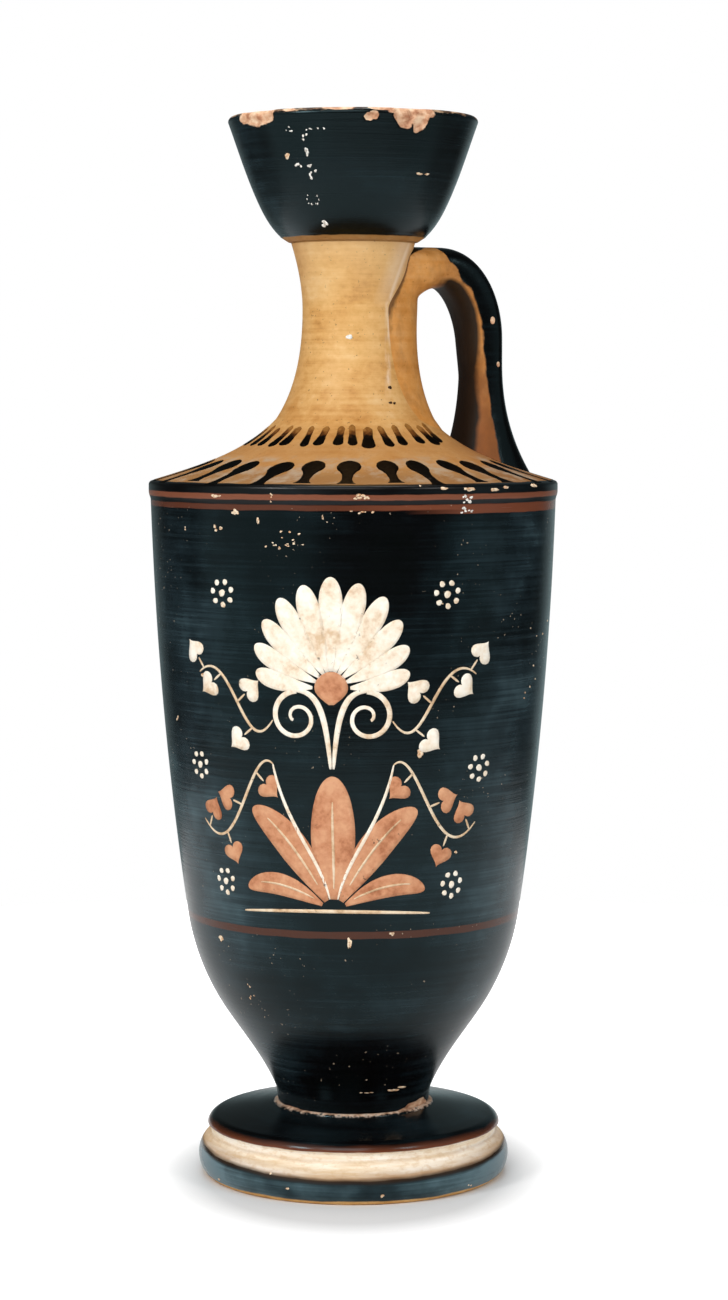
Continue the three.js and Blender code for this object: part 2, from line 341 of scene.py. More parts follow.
def brushed_gloss(tree, place, lift=0.0):
    """Iron-rich slip, brushed on as the jar turned and fired black, with fine rings and teal patches."""
    rings = noise_at(tree, place, (60, 60, 0.9), 4.0, 0.65)
    patches = noise_at(tree, place, (34, 34, 26), 3.0, 0.55)
    height = add(tree, "ShaderNodeSeparateXYZ", {0: place})[2]
    cooler = between(tree, height, 40.0, 165.0, 32.0)
    tone = rings * 0.34 + patches * 0.62
    tone = cooler * 0.1 + tone
    dark_stops = ((0.36, "#040302"), (0.48, "#060506"), (0.58, "#0D1417"))
    pale_stops = ((0.7, "#1E2A2F"), (0.86, "#3D5056"), (1.0, "#587078"))
    finish = add(tree, "ShaderNodeValToRGB", (tone + lift,), stops=(*dark_stops, *pale_stops))
    return finish, rings


def burnished_clay(tree, place):
    """Iron-bearing clay, smoothed on the wheel and fired orange: faint rings, clouds and dark specks."""
    rings = noise_at(tree, place, (50, 50, 1.6), 3.0, 0.6)
    clouds = noise_at(tree, place, (13, 13, 17), 5.0, 0.65)
    mottle = noise_at(tree, place, (2.6, 2.6, 1.5), 3.0, 0.6)
    tone = rings * 0.26 + clouds * 0.5 + mottle * 0.24
    base = add(
        tree,
        "ShaderNodeValToRGB",
        (tone,),
        stops=((0.34, "#B67A38"), (0.44, "#D19A55"), (0.54, "#DFAE6C"), (0.68, "#EBC68F")),
    )
    specks = noise_at(tree, place, (0.8, 0.8, 0.8), 2.0, 0.5)
    speckled = add(tree, "ShaderNodeMapRange", {0: specks, 1: 0.68, 2: 0.75, 4: 0.75})
    return layered(tree, base, (speckled, "#4A2E17")), rings


def coat(tree, shader, finish, rough, bumps, depth):
    """Gives the shader its colour, its roughness and a relief of a real depth in millimetres."""
    relief = add(tree, "ShaderNodeBump", {"Height": bumps, "Distance": depth * MM, "Strength": 1.0})
    feed(tree, shader, {"Base Color": finish, "Roughness": rough, "Normal": relief})


gloss_tint = colour("#A4CBD3")
front_degrees = -114


def foot_finish():
    """Black gloss, with a pale reserved groove, a red-brown edge over it and a worn joint, and painted shade
    and painted sheen towards the sides.
    """
    material, tree, shader, place = new_surface("black_gloss_foot", 1.45, 0.5, gloss_tint)
    axes = add(tree, "ShaderNodeSeparateXYZ", {0: place})
    radius = from_axis(tree, axes)
    waver = noise_at(tree, place, (11, 11, 4), 3.0) - 0.5
    height = axes[2] + waver
    front = towards(tree, place, front_degrees) / radius
    # Aside grows as the surface turns away from the front; below it sets painted shade and painted sheen.
    aside = add(tree, "ShaderNodeMath", (1.0 - front, 0.75), operation="MINIMUM")
    # Painted shade: the pale band's edge is drawn higher towards the sides, so more dark gloss shows there.
    band_edge_with_side_shade = height - aside * 3.0
    painted_gloss_sheen = (
        add(tree, "ShaderNodeMapRange", (band_edge_with_side_shade, 7.5, 5.5))
        * add(tree, "ShaderNodeMapRange", (radius, 40.0, 41.0))
    )
    # Painted sheen: the gloss on the roll is painted paler towards the sides, with cloudy patches.
    cloudy = noise_at(tree, place, (9, 9, 6), 3.0, 0.6) * 0.34
    paler = aside * 0.5 + cloudy
    painted_gloss_sheen = painted_gloss_sheen * (paler + 0.12)
    # Painted sheen on the disc's top as well.
    painted_gloss_sheen = painted_gloss_sheen + add(tree, "ShaderNodeMapRange", {0: axes[2], 1: 17.0, 2: 18.0, 4: 0.07})
    gloss, rings = brushed_gloss(tree, place, painted_gloss_sheen)
    clay, _ = burnished_clay(tree, place)
    pale = add(
        tree,
        "ShaderNodeValToRGB",
        (noise_at(tree, place, (26, 26, 2.2), 5.0, 0.62),),
        stops=((0.36, "#E8CDA8"), (0.5, "#FAEAD3"), (0.62, "#FFF6E8")),
    )
    pitted = add(
        tree,
        "ShaderNodeMapRange",
        {0: noise_at(tree, place, (2.2, 2.2, 1.3), 3.0, 0.6), 1: 0.5, 2: 0.68, 4: 0.5},
    )
    pale = layered(tree, pale, (pitted, "#DDBB8E"))
    # Darker with soil along the seam and low on the pale band, and painted shade on the band towards the
    # sides.
    soil = noise_at(tree, place, (18, 18, 2), 4.0, 0.6)
    seam = between(tree, height, 11.6, 12.3, 0.3) * 0.6
    low = add(tree, "ShaderNodeMapRange", {0: band_edge_with_side_shade, 1: 10.4, 2: 7.6, 4: 1.5})
    darkened = add(tree, "ShaderNodeMath", (low, seam), operation="MAXIMUM") * soil
    darkened = darkened + aside * 0.12
    pale = layered(tree, pale, (darkened, "#A77F58"))
    outside = add(tree, "ShaderNodeMapRange", (radius, 39.0, 39.4))
    reserved = (
        add(tree, "ShaderNodeMapRange", (band_edge_with_side_shade, 7.1, 8.1))
        * add(tree, "ShaderNodeMapRange", (height, 14.65, 14.35))
    )
    reserved = reserved * outside
    dark_line = between(tree, band_edge_with_side_shade, 6.4, 13.0, 0.5) * outside
    worn_edge = between(tree, height, 13.9, 15.6, 0.9) * outside
    bottom = add(tree, "ShaderNodeMapRange", (height, 1.35, 1.0))
    under = (
        add(tree, "ShaderNodeMapRange", (radius, 41.5, 41.0))
        * add(tree, "ShaderNodeMapRange", (axes[2], 10.5, 10.0))
    )
    ragged = noise_at(tree, place, (2.2, 2.2, 2.2), 4.0, 0.7)
    joint = add(tree, "ShaderNodeMapRange", (radius - ragged * 2.6, 21.5, 21.1))
    joint = joint * add(tree, "ShaderNodeMapRange", (axes[2], 18.5, 19.0))
    joint = joint * add(tree, "ShaderNodeMapRange", (ragged, 0.64, 0.56))
    finish = layered(tree, gloss, (dark_line, "#33251B"), (worn_edge, "#6B3A24"), (reserved, pale))
    bared = add(
        tree,
        "ShaderNodeValToRGB",
        (ragged,),
        stops=((0.4, "#8A664E"), (0.53, "#CBAA90"), (0.64, "#EDDCCB")),
    )
    finish = layered(tree, finish, (joint, bared))
    bare = add(tree, "ShaderNodeMath", (bottom, under), operation="MAXIMUM")
    finish = layered(tree, finish, (bare, clay))
    unglazed = add(
        tree,
        "ShaderNodeMath",
        (add(tree, "ShaderNodeMath", (reserved, joint), operation="MAXIMUM"), bare),
        operation="MAXIMUM",
    )
    rough = unglazed * 0.5 + rings * 0.14
    coat(tree, shader, finish, rough + 0.12, rings + joint * ragged, 0.05)
    return material


foot_seat = foot_top - socket_depth
disc_under = roll_height + groove_height
disc_top = disc_under + disc_edge_height
socket_radius = stem_foot_radius + 0.05
roll_edge = (roll_radius, roll_height / 2)
foot_profile = [
    Vector((0, foot_hollow_depth)),
    *straight((0.5, foot_hollow_depth), (foot_hollow_radius, foot_hollow_depth), 6),
    *straight((foot_hollow_radius, foot_hollow_depth), (foot_rest_radius - foot_rest_width, 0), 16),
    *straight((foot_rest_radius - foot_rest_width, 0), (foot_rest_radius, 0), 6),
    *thrown((foot_rest_radius, 0), 68, roll_edge, 0, 14),
    *thrown(roll_edge, 0, (roll_groove_radius, roll_height), -62, 14),
    *thrown((groove_radius, roll_height + 0.3), 0, (disc_radius - 0.5, disc_under), 62, 8),
    *thrown((disc_radius, disc_under + 0.15), 0, (disc_radius - disc_edge_height, disc_top), -84, 12),
    *straight((disc_radius - disc_edge_height, disc_top), (socket_radius + collar_width, foot_top), 24),
    *thrown((socket_radius + collar_width, foot_top), -10, (socket_radius, foot_top + collar_height), -70, 8),
    Vector((socket_radius, foot_seat)),
    *straight((socket_radius, foot_seat), (0, foot_seat), 4),
]
foot = turned("foot_dressed", foot_profile, foot_finish())
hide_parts("foot")
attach(foot, "root")


# The body: one thrown wall, from a short stem through a cone and a turn to the long flank.
# It is brushed all over with gloss. Thin lines of red ochre run under and over the picture band.
body_low, body_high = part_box("body")
body_foot = body_low.z / MM
body_top = body_high.z / MM
stem_radius = 22.2
stem_height = 5.6
stem_opening = 22
cone_radius = 36.4
cone_height = 22.9
cone_opening = 34
belly_radius = 47.3
belly_height = 28.0
belly_opening = 8.3
wall_radius = 57.4
wall_opening = 1.8
body_wall = 4.2
body_floor = 7.0
lower_line = (74.9, 76.9)
upper_line = (194.4, 195.9)
under_line = (190.6, 193.1)
rubbed_below = 191.9
rubbed_from = 150.0
rubbed_side = -164

# Chips at the joint: degrees round from the handle, height, and their width, height and depth.
stem_chips = (
    (-56, 20.6, 13.0, 4.6, 0.5),
    (-70, 20.4, 7.0, 2.2, 0.3),
    (-104, 20.0, 16.0, 1.5, 0.2),
    (-136, 20.0, 18.0, 1.3, 0.2),
    (-166, 20.2, 8.0, 2.0, 0.3),
    (60, 20.2, 18.0, 2.6, 0.3),
    (130, 20.2, 12.0, 3.4, 0.4),
)
chance = random.Random(7)


def side_sheen_and_clouds(tree, place):
    """A painted sheen: how much paler the gloss is painted away from the front than on it, with cloudy
    patches.
    """
    axes = add(tree, "ShaderNodeSeparateXYZ", {0: place})
    front = towards(tree, place, front_degrees) / from_axis(tree, axes)
    cloudy = noise_at(tree, place, (6, 6, 7), 3.0, 0.6) * 0.16
    return add(tree, "ShaderNodeMapRange", {0: front, 1: 0.98, 2: 0.6, 4: 0.15}) + (cloudy - 0.13)


def ochre_lines(tree, height, gloss):
    """The thin lines of red ochre that were laid on the gloss while the jar turned."""
    finish = gloss
    for (low, high), code in ((lower_line, "#4E2A1B"), (under_line, "#74402B"), (upper_line, "#7F4A34")):
        finish = layered(tree, finish, (between(tree, height, low, high, 0.12), code))
    return finish


def chip(piece, places, radius_at, wall):
    """Knocks flakes out of an edge, and marks where the clay is bare. The outline of each is uneven."""
    mesh = piece.data
    bare = [-1.0] * len(mesh.vertices)
    for degrees, height, width, tall, depth in places:
        middle = math.radians(degrees)
        lobes = [
            (turns, chance.uniform(0, 2 * math.pi), chance.uniform(0.02, 0.07))
            for turns in (2, 3, 4, 6)
        ]
        for i, vertex in enumerate(mesh.vertices):
            x, y, z = vertex.co / MM
            if abs(z - height) > tall or abs(math.hypot(x, y) - radius_at) > wall:
                continue
            away = (math.atan2(y, x) - middle + math.pi) % (2 * math.pi) - math.pi
            across = away * radius_at / (width / 2)
            up = (z - height) / (tall / 2)
            around = math.atan2(up, across)
            rim = 1 + sum(size * math.sin(turns * around + phase) for turns, phase, size in lobes)
            inside = 1 - math.hypot(across, up) / rim
            bare[i] = max(bare[i], inside)
            if inside > 0:
                vertex.co -= Vector((x, y, 0)).normalized() * depth * min(1, inside / 0.3) * MM
    layer = mesh.attributes.new("chipped", "FLOAT", "POINT")
    layer.data.foreach_set("value", bare)
    mesh.update()


def bared_clay(tree, place):
    """Where a chip bares the clay, with a ragged edge, and the pinkish colour of the break."""
    ragged = (noise_at(tree, place, (1.4, 1.4, 1.4), 3.0) - 0.5) * 0.35
    chipped = add(tree, "ShaderNodeAttribute", attribute_name="chipped")["Fac"] + ragged
    fresh = add(
        tree,
        "ShaderNodeValToRGB",
        (noise_at(tree, place, (3, 3, 2.2), 4.0, 0.6),),
        stops=((0.36, "#AE7655"), (0.5, "#D8A986"), (0.64, "#EBCBAA")),
    )
    return add(tree, "ShaderNodeMapRange", (chipped, -0.02, 0.05)), fresh


def body_finish():
    """Black gloss with its brush rings, painted paler towards its sides as a painted sheen, and worn here and
    there to pinholes of clay.
    """
    material, tree, shader, place = new_surface("black_gloss_body", 1.45, 0.5, gloss_tint)
    axes = add(tree, "ShaderNodeSeparateXYZ", {0: place})
    # Painted sheen: the gloss is painted paler away from the front.
    gloss, rings = brushed_gloss(tree, place, side_sheen_and_clouds(tree, place))
    shake = (noise_at(tree, place, (9, 9, 3), 2.0) - 0.5) * 0.5
    height = axes[2] + shake
    finish = ochre_lines(tree, height, gloss)
    left = towards(tree, place, rubbed_side)
    faint = (
        add(tree, "ShaderNodeMapRange", (left, 5.0, 25.0))
        * add(tree, "ShaderNodeMapRange", (height, rubbed_below, rubbed_below - 0.4))
    )
    rubbed = add(
        tree,
        "ShaderNodeMath",
        (add(tree, "ShaderNodeMapRange", {0: left, 1: 24.0, 2: 40.0, 4: 0.4}), faint),
        operation="MAXIMUM",
    )
    high_up = add(tree, "ShaderNodeMapRange", (height, rubbed_from, rubbed_from + 10.0))
    finish = layered(tree, finish, (rubbed * high_up, gloss))
    grain = noise_at(tree, place, (0.8, 0.8, 0.8), 1.0)
    where = noise_at(tree, place, (22, 22, 18), 2.0)
    pinholes = add(tree, "ShaderNodeMapRange", {0: grain, 1: 0.745, 2: 0.775})
    pinholes = pinholes * add(tree, "ShaderNodeMapRange", {0: where, 1: 0.52, 2: 0.62})
    finish = layered(tree, finish, (pinholes, "#B9A48C"))
    chipped, fresh = bared_clay(tree, place)
    finish = layered(tree, finish, (chipped, fresh))
    pinholes = add(tree, "ShaderNodeMath", (pinholes, chipped), operation="MAXIMUM")
    sheen = noise_at(tree, place, (28, 28, 30), 3.0)
    rough = rings * 0.14 + sheen * 0.2 + 0.06
    coat(tree, shader, finish, rough + pinholes * 0.5, rings, 0.035)
    return material


stem_top = body_foot + stem_height
cone_top = stem_top + cone_height
belly_top = cone_top + belly_height
body_outline = [
    *thrown((stem_foot_radius, body_foot), 4, (stem_radius, stem_top), 10, 14),
    *thrown((stem_radius, stem_top), stem_opening, (cone_radius, cone_top), cone_opening, 24)[1:],
    *thrown((cone_radius, cone_top), cone_opening, (belly_radius, belly_top), belly_opening, 32)[1:],
    *thrown((belly_radius, belly_top), belly_opening, (wall_radius, body_top), wall_opening, 90)[1:],
]
body_inner = [p for p in inner_face(body_outline, body_wall) if body_foot + body_floor < p.y < body_top]
body_profile = [
    *straight((0, body_foot), (stem_foot_radius, body_foot), 4),
    *body_outline,
    Vector((wall_radius - body_wall, body_top)),
    *body_inner[::3],
    Vector((0, body_foot + body_floor)),
]
body = turned("body_dressed", body_profile, body_finish())
chip(body, stem_chips, stem_radius, body_wall)
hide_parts("body")
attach(body, "root")


# The shoulder: a cap thrown on its own, with a crisp turned edge and a slope that runs up to the neck.
# The edge is black with a red line, and the slope is left as burnished clay for the brushwork.
shoulder_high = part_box("shoulder")[1]
edge_radius = shoulder_high.x / MM - 0.02
edge_height = 5.2
edge_rounding = 1.1
edge_flare = 2.2
edge_pitch = 17
shoulder_pitch = 47
shoulder_wall = 4.4
neck_foot_radius = 21.9
neck_wall = 4.6
slope_shade_inner = 22.0
slope_shade_outer = 31.0
dark_band_inner = 41.0
dark_band_outer = 50.0
crust_inner = 37.0
crust_outer = 55.5
edge_gloss_inner = 55.9
edge_gloss_full = 56.3
shoulder_top = shoulder_high.z / MM
edge_top = body_top + edge_height


def shoulder_finish():
    """Burnished clay, greyed by a film from the ground, with painted shade over its slope and gloss on the
    turned edge.
    """
    material, tree, shader, place = new_surface("burnished_clay_shoulder", 1.4, 0.36)
    axes = add(tree, "ShaderNodeSeparateXYZ", {0: place})
    radius = from_axis(tree, axes)
    shake = noise_at(tree, place, (6, 6, 3), 3.0) - 0.5
    gloss, rings = brushed_gloss(tree, place)
    clay, _ = burnished_clay(tree, place)
    # Painted shade: the slope is painted darker than the clay at the neck's foot, with fine specks, and
    # darker still towards the handle.
    slope_shade_and_specks = (
        add(tree, "ShaderNodeMapRange", {0: radius, 1: slope_shade_inner, 2: slope_shade_outer, 4: 0.5})
        + noise_at(tree, place, (1.3, 1.3, 1.3), 4.0, 0.7) * 0.3
    )
    darker_towards_handle = {0: towards(tree, place, 0), 1: 14.0, 2: 44.0, 4: 0.62}
    slope_shade_and_specks = slope_shade_and_specks + add(tree, "ShaderNodeMapRange", darker_towards_handle)
    clay = layered(tree, clay, (slope_shade_and_specks, "#A06A34"))
    crust = noise_at(tree, place, (6, 6, 6), 5.0, 0.7)
    crust = (
        add(tree, "ShaderNodeMapRange", {0: crust, 1: 0.47, 2: 0.66, 4: 0.8})
        * between(tree, radius, crust_inner, crust_outer, 1.5)
    )
    dark_band = {0: radius, 1: dark_band_inner, 2: dark_band_outer, 4: 0.52}
    dark_band = add(tree, "ShaderNodeMapRange", dark_band)
    clay = layered(tree, clay, (dark_band, "#6A4726"), (crust, "#AC9880"))
    edge = add(
        tree, "ShaderNodeMapRange", {0: radius + shake * 1.4, 1: edge_gloss_inner, 2: edge_gloss_full}
    )
    height = axes[2] + shake * 0.5
    lined = ochre_lines(tree, height, gloss)
    finish = layered(tree, clay, (edge, lined))
    rough = add(tree, "ShaderNodeMapRange", {0: edge, 3: 0.62, 4: 0.3})
    coat(tree, shader, finish, rough, rings, 0.03)
    return material


edge_corner = Vector((edge_radius - edge_rounding, edge_top - edge_rounding))
slope_start = edge_corner + lean(edge_pitch) * edge_rounding
slope = thrown(slope_start, edge_pitch - 90, (neck_foot_radius, shoulder_top), shoulder_pitch - 90, 90)
neck_bore = neck_foot_radius - neck_wall
shoulder_inner = [
    p
    for p in inner_face(slope, shoulder_wall)
    if neck_bore < p.x < wall_radius - body_wall and p.y < shoulder_top
]
shoulder_profile = [
    *thrown((wall_radius, body_top), 10, (edge_radius, body_top + edge_flare), 0, 8),
    *straight((edge_radius, body_top + edge_flare), (edge_radius, edge_corner.y), 4),
    *rounding(edge_corner, edge_rounding, 0, 90 - edge_pitch, 8),
    *slope[1:],
    Vector((neck_bore, shoulder_top)),
    *shoulder_inner[::4],
    Vector((wall_radius - body_wall, body_top)),
    Vector((wall_radius, body_top)),
]
shoulder = turned("shoulder_dressed", shoulder_profile, shoulder_finish())
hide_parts("shoulder")
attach(shoulder, "root")


# The neck: a waisted tube, thrown on its own and luted on the shoulder.
# It is burnished clay without gloss, so it shows the fine rings of the wheel and dark specks in the clay.
neck_low, neck_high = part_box("neck")
neck_foot = neck_low.z / MM
neck_top = neck_high.z / MM
neck_waist_radius = 14.35
neck_top_radius = 17.45
waist_height = 30.6
neck_foot_opening = -34
neck_top_opening = 17
crack_seen_from = -24
greyed_from = 246.0
greyed_full = 266.0
neck_foot_darker_from = 230.0
neck_foot_darker_full = 215.0
highlight_from = 217.0
highlight_full = 232.0
crack_low = 248.0
crack_high = 265.0
crack_lean = 6.0
ridge_highlight_low = 224.0
ridge_highlight_high = 266.0
thumbed_highlight_low = 250.0
thumbed_highlight_high = 268.0


def neck_finish():
    """Burnished clay, paler where it was rubbed and greyed under the mouth, with a painted highlight on its
    front and beside the handle's root, painted shade at its sides, and darker towards its foot.
    """
    material, tree, shader, place = new_surface("burnished_clay_neck", 1.4, 0.4)
    axes = add(tree, "ShaderNodeSeparateXYZ", {0: place})
    clay, rings = burnished_clay(tree, place)
    high = add(tree, "ShaderNodeMapRange", {0: axes[2], 1: greyed_from, 2: greyed_full, 4: 0.6})
    rubbed = high * noise_at(tree, place, (9, 9, 14), 3.0)
    finish = layered(tree, clay, (rubbed, "#D9BC94"))
    # Darker towards the neck's foot, and a little where it is rubbed.
    low = (
        add(tree, "ShaderNodeMapRange", {0: axes[2], 1: neck_foot_darker_from, 2: neck_foot_darker_full, 4: 0.16})
        + add(tree, "ShaderNodeMapRange", {0: rubbed, 1: 0.2, 2: 0.5, 4: 0.12})
    )
    finish = layered(tree, finish, (low, "#A06A34"))
    # Painted highlight down the front of the neck, rising from its foot.
    rising = add(tree, "ShaderNodeMapRange", {0: axes[2], 1: highlight_from, 2: highlight_full, 4: 0.14})
    front_highlight = add(tree, "ShaderNodeMapRange", (towards(tree, place, front_degrees), 6.0, 15.0)) * rising
    finish = layered(tree, finish, (front_highlight, "#F6CF86"))
    # Painted shade on the neck's sides, more on the side of the handle.
    neck_side_shade = add(
        tree,
        "ShaderNodeMath",
        (
            add(tree, "ShaderNodeMapRange", {0: towards(tree, place, 0), 1: 6.0, 2: 15.0, 4: 0.34}),
            add(tree, "ShaderNodeMapRange", {0: towards(tree, place, 150), 1: 11.0, 2: 15.0, 4: 0.16}),
        ),
        operation="MAXIMUM",
    )
    finish = layered(tree, finish, (neck_side_shade, "#C07C30"))
    # Painted highlight on the clay beside the crack at the handle's root, on the side towards the front.
    crack = add(tree, "ShaderNodeMapRange", {0: axes[2], 1: crack_low, 2: crack_high, 4: crack_lean})
    beside = towards(tree, place, crack_seen_from) - crack
    this_side = add(tree, "ShaderNodeMapRange", (towards(tree, place, crack_seen_from - 90), 2.0, 6.0))
    broken = add(tree, "ShaderNodeMapRange", (noise_at(tree, place, (1.5, 1.5, 6), 4.0, 0.6), 0.35, 0.6))
    ridge_highlight = between(tree, beside, 9.2, 10.3, 0.5) * between(tree, axes[2], ridge_highlight_low, ridge_highlight_high, 4.0)
    unbroken = add(tree, "ShaderNodeMapRange", (axes[2], 246.0, 252.0))
    ridge_highlight = ridge_highlight * add(tree, "ShaderNodeMath", (broken, unbroken), operation="MAXIMUM")
    thumbed_highlight = between(tree, beside, 6.6, 10.5, 1.6) * between(tree, axes[2], thumbed_highlight_low, thumbed_highlight_high, 4.0)
    thumbed_highlight = thumbed_highlight * 0.45
    ridge_highlight = add(tree, "ShaderNodeMath", (ridge_highlight, thumbed_highlight), operation="MAXIMUM") * this_side
    finish = layered(tree, finish, (ridge_highlight * 0.8, "#F3DABB"))
    rough = add(tree, "ShaderNodeMapRange", {0: rings, 3: 0.42, 4: 0.62})
    coat(tree, shader, finish, rough, rings, 0.05)
    return material


waist = neck_foot + waist_height
neck_outline = [
    *thrown((neck_foot_radius, neck_foot), neck_foot_opening, (neck_waist_radius, waist), 0, 48),
    *thrown((neck_waist_radius, waist), 0, (neck_top_radius, neck_top), neck_top_opening, 32)[1:],
]
neck_inner = [p for p in inner_face(neck_outline, neck_wall) if neck_foot < p.y < neck_top]
neck_profile = [
    *neck_outline,
    Vector((neck_top_radius - neck_wall, neck_top)),
    *neck_inner[::2],
    Vector((neck_foot_radius - neck_wall, neck_foot)),
    neck_outline[0],
]
neck = turned("neck_dressed", neck_profile, neck_finish())
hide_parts("neck")
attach(neck, "root")


# The mouth: a deep thrown cup with a flat lip, and a bevelled fillet where it meets the neck.
# It is black inside and out, with the fillet left as clay and the lip worn down to clay in chips.
mouth_low, mouth_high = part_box("mouth")
mouth_foot = mouth_low.z / MM
mouth_top = mouth_high.z / MM
fillet_radius = 20.7
fillet_height = 2.2
fillet_groove = 0.5
bowl_radius = 28.1
bowl_height = 12.2
bowl_foot_opening = 47
bowl_opening = 23
lip_radius = mouth_high.x / MM - 0.02
lip_opening = 20
lip_rounding = 1.5
mouth_wall = 4.6
throat_depth = 4.0
mouth_steps = 560


def mouth_finish():
    """Black gloss over the cup, painted paler towards its sides as a painted sheen, with clay on the fillet,
    painted darker as its shade, and wherever the lip is chipped.
    """
    material, tree, shader, place = new_surface("black_gloss_mouth", 1.45, 0.5, gloss_tint)
    axes = add(tree, "ShaderNodeSeparateXYZ", {0: place})
    radius = from_axis(tree, axes)
    # Painted sheen: the gloss is painted paler away from the front.
    gloss, rings = brushed_gloss(tree, place, side_sheen_and_clouds(tree, place))
    clay, _ = burnished_clay(tree, place)
    shake = (noise_at(tree, place, (4, 4, 2), 3.0) - 0.5) * 0.5
    height = axes[2] + shake
    outside = add(tree, "ShaderNodeMapRange", {0: radius, 1: 16.8, 2: 17.0})
    fillet = add(tree, "ShaderNodeMapRange", (height, mouth_foot + 1.75, mouth_foot + 1.5)) * outside
    # The fillet's clay is painted darker as the shade under the bowl.
    finish = layered(tree, gloss, (fillet * 0.9, layered(tree, clay, (0.5, "#8F5C28"))))
    wear_noise = noise_at(tree, place, (5, 5, 1.1), 5.0, 0.68)
    near_lip = {0: axes[2], 1: mouth_top - 1.6, 2: mouth_top - 0.5, 4: 0.36}
    wear = wear_noise + add(tree, "ShaderNodeMapRange", near_lip)
    rubbed = add(tree, "ShaderNodeMapRange", (wear, 0.78, 0.88))
    worn = add(
        tree,
        "ShaderNodeValToRGB",
        (noise_at(tree, place, (2.4, 2.4, 1.2), 3.0),),
        stops=((0.4, "#3E2417"), (0.5, "#7A563B"), (0.62, "#BA9A7A")),
    )
    finish = layered(tree, finish, (rubbed * 0.85, worn))
    chipped, fresh = bared_clay(tree, place)
    finish = layered(tree, finish, (chipped, fresh))
    unglazed = add(
        tree,
        "ShaderNodeMath",
        (fillet, add(tree, "ShaderNodeMath", (chipped, rubbed), operation="MAXIMUM")),
        operation="MAXIMUM",
    )
    rough = unglazed * 0.4 + rings * 0.18
    coat(tree, shader, finish, rough + 0.16, rings, 0.04)
    return material


fillet_top = mouth_foot + fillet_height
bowl_top = fillet_top + bowl_height
lip_centre = (lip_radius - lip_rounding, mouth_top - lip_rounding)
mouth_outline = [
    Vector((neck_top_radius, mouth_foot)),
    Vector((neck_top_radius + 0.1, mouth_foot + fillet_groove)),
    *straight(
        (neck_top_radius + 0.9, mouth_foot + fillet_groove), (fillet_radius - 0.25, fillet_top - 0.35), 4
    ),
    *thrown(
        (fillet_radius - 0.1, fillet_top - 0.15),
        bowl_foot_opening,
        (bowl_radius, bowl_top),
        bowl_opening,
        30,
    ),
    *thrown((bowl_radius, bowl_top), bowl_opening, (lip_radius, lip_centre[1]), lip_opening, 72)[1:],
]
throat = Vector((neck_top_radius - neck_wall, mouth_foot))
bowl_floor = Vector((throat.x + 1, mouth_foot + throat_depth))
mouth_inner = [
    p
    for p in inner_face(mouth_outline, mouth_wall)
    if bowl_floor.y < p.y < mouth_top - 1 and p.x > bowl_floor.x
]
mouth_profile = [
    *mouth_outline,
    *rounding(lip_centre, lip_rounding, 0, 90, 12)[1:],
    *straight((lip_radius - lip_rounding, mouth_top), (lip_radius - mouth_wall + 0.4, mouth_top), 6),
    *rounding((lip_radius - mouth_wall + 0.4, mouth_top - 0.5), 0.5, 90, 170, 4),
    *mouth_inner[::3],
    bowl_floor,
    throat,
    mouth_outline[0],
]
mouth = turned("mouth_dressed", mouth_profile, mouth_finish(), mouth_steps)

# Chips round the lip: degrees round from the handle, how high they sit, and their width, height and depth.
lip_chips = (
    (-165, 300.0, 15.0, 8.4, 0.9),
    (-158, 299.6, 8.0, 6.4, 0.7),
    (-144, 299.7, 4.6, 0.9, 0.25),
    (-106.4, 297.5, 3.0, 2.2, 0.5),
    (-104.6, 297.9, 3.0, 2.4, 0.45),
    (-89.5, 298.4, 6.6, 8.0, 0.9),
    (-82, 298.0, 6.2, 8.2, 0.8),
    (-85.5, 299.9, 15.0, 5.0, 0.45),
    (-100, 299.9, 9.0, 1.3, 0.25),
    (-120, 300.0, 9.0, 1.4, 0.2),
    (25, 299.4, 5.0, 2.4, 0.6),
    (74, 299.6, 8.0, 5.2, 0.8),
    (132, 299.5, 5.5, 2.2, 0.5),
)
chip(mouth, lip_chips, lip_radius, mouth_wall)
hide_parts("mouth")
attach(mouth, "root")


# The handle: a strap pulled from wet clay, pressed on the neck under the mouth and on the shoulder.
# Its root is smeared down the neck with a thumb. The gloss on its back laps unevenly over the sides,
# which stay bare clay, and shade is painted dark on the side towards the neck and along the crease there.
strap_sections = 90
strap_sides = 48
marking_steps = 160
tongue_sides = 96
strap_thickness = 9.8
strap_width = 17.6
strap_squareness = 2.5
strap_reach = 44.9
bend_reach = 18.8
bend_drop = 26.0
strap_clearance = 0.5
root_under = 12.0
root_widening = 2.0
bend_swell = 2.4
bend_swell_length = 52.0
foot_spread_height = 36.0
foot_spread_out = 12.0
foot_spread_in = 8.5
foot_spread_side = 4.0
foot_spread_power = 2.2
tongue_lift = 4.6
tongue_length = 52.0
tongue_wrap_top = 0.7
tongue_wrap = 0.97
clay_overlap = 0.4
hand_grain = 0.42
hand_smoothing = 0.5
smoothing_rounds = 14
root_gloss_reach = 21.5
root_gloss_drop = 7.2
root_gloss_rise = 2.8
crease_end = 236.0
outer_darkening_below = 236.0
outer_darkening_full = 212.0
outside_from = 22.0
outside_full = 32.0
inner_shade_edge = 3.3
inner_shade_fade = 1.4
inner_shade_recess = 2.4
inner_shade_low_top = 216.0
inner_shade_low_reach = 12.0
tongue_depth = 12.0
gloss_chips = ((39.6, 243.6, 0.75), (41.5, 231.2, 0.6))

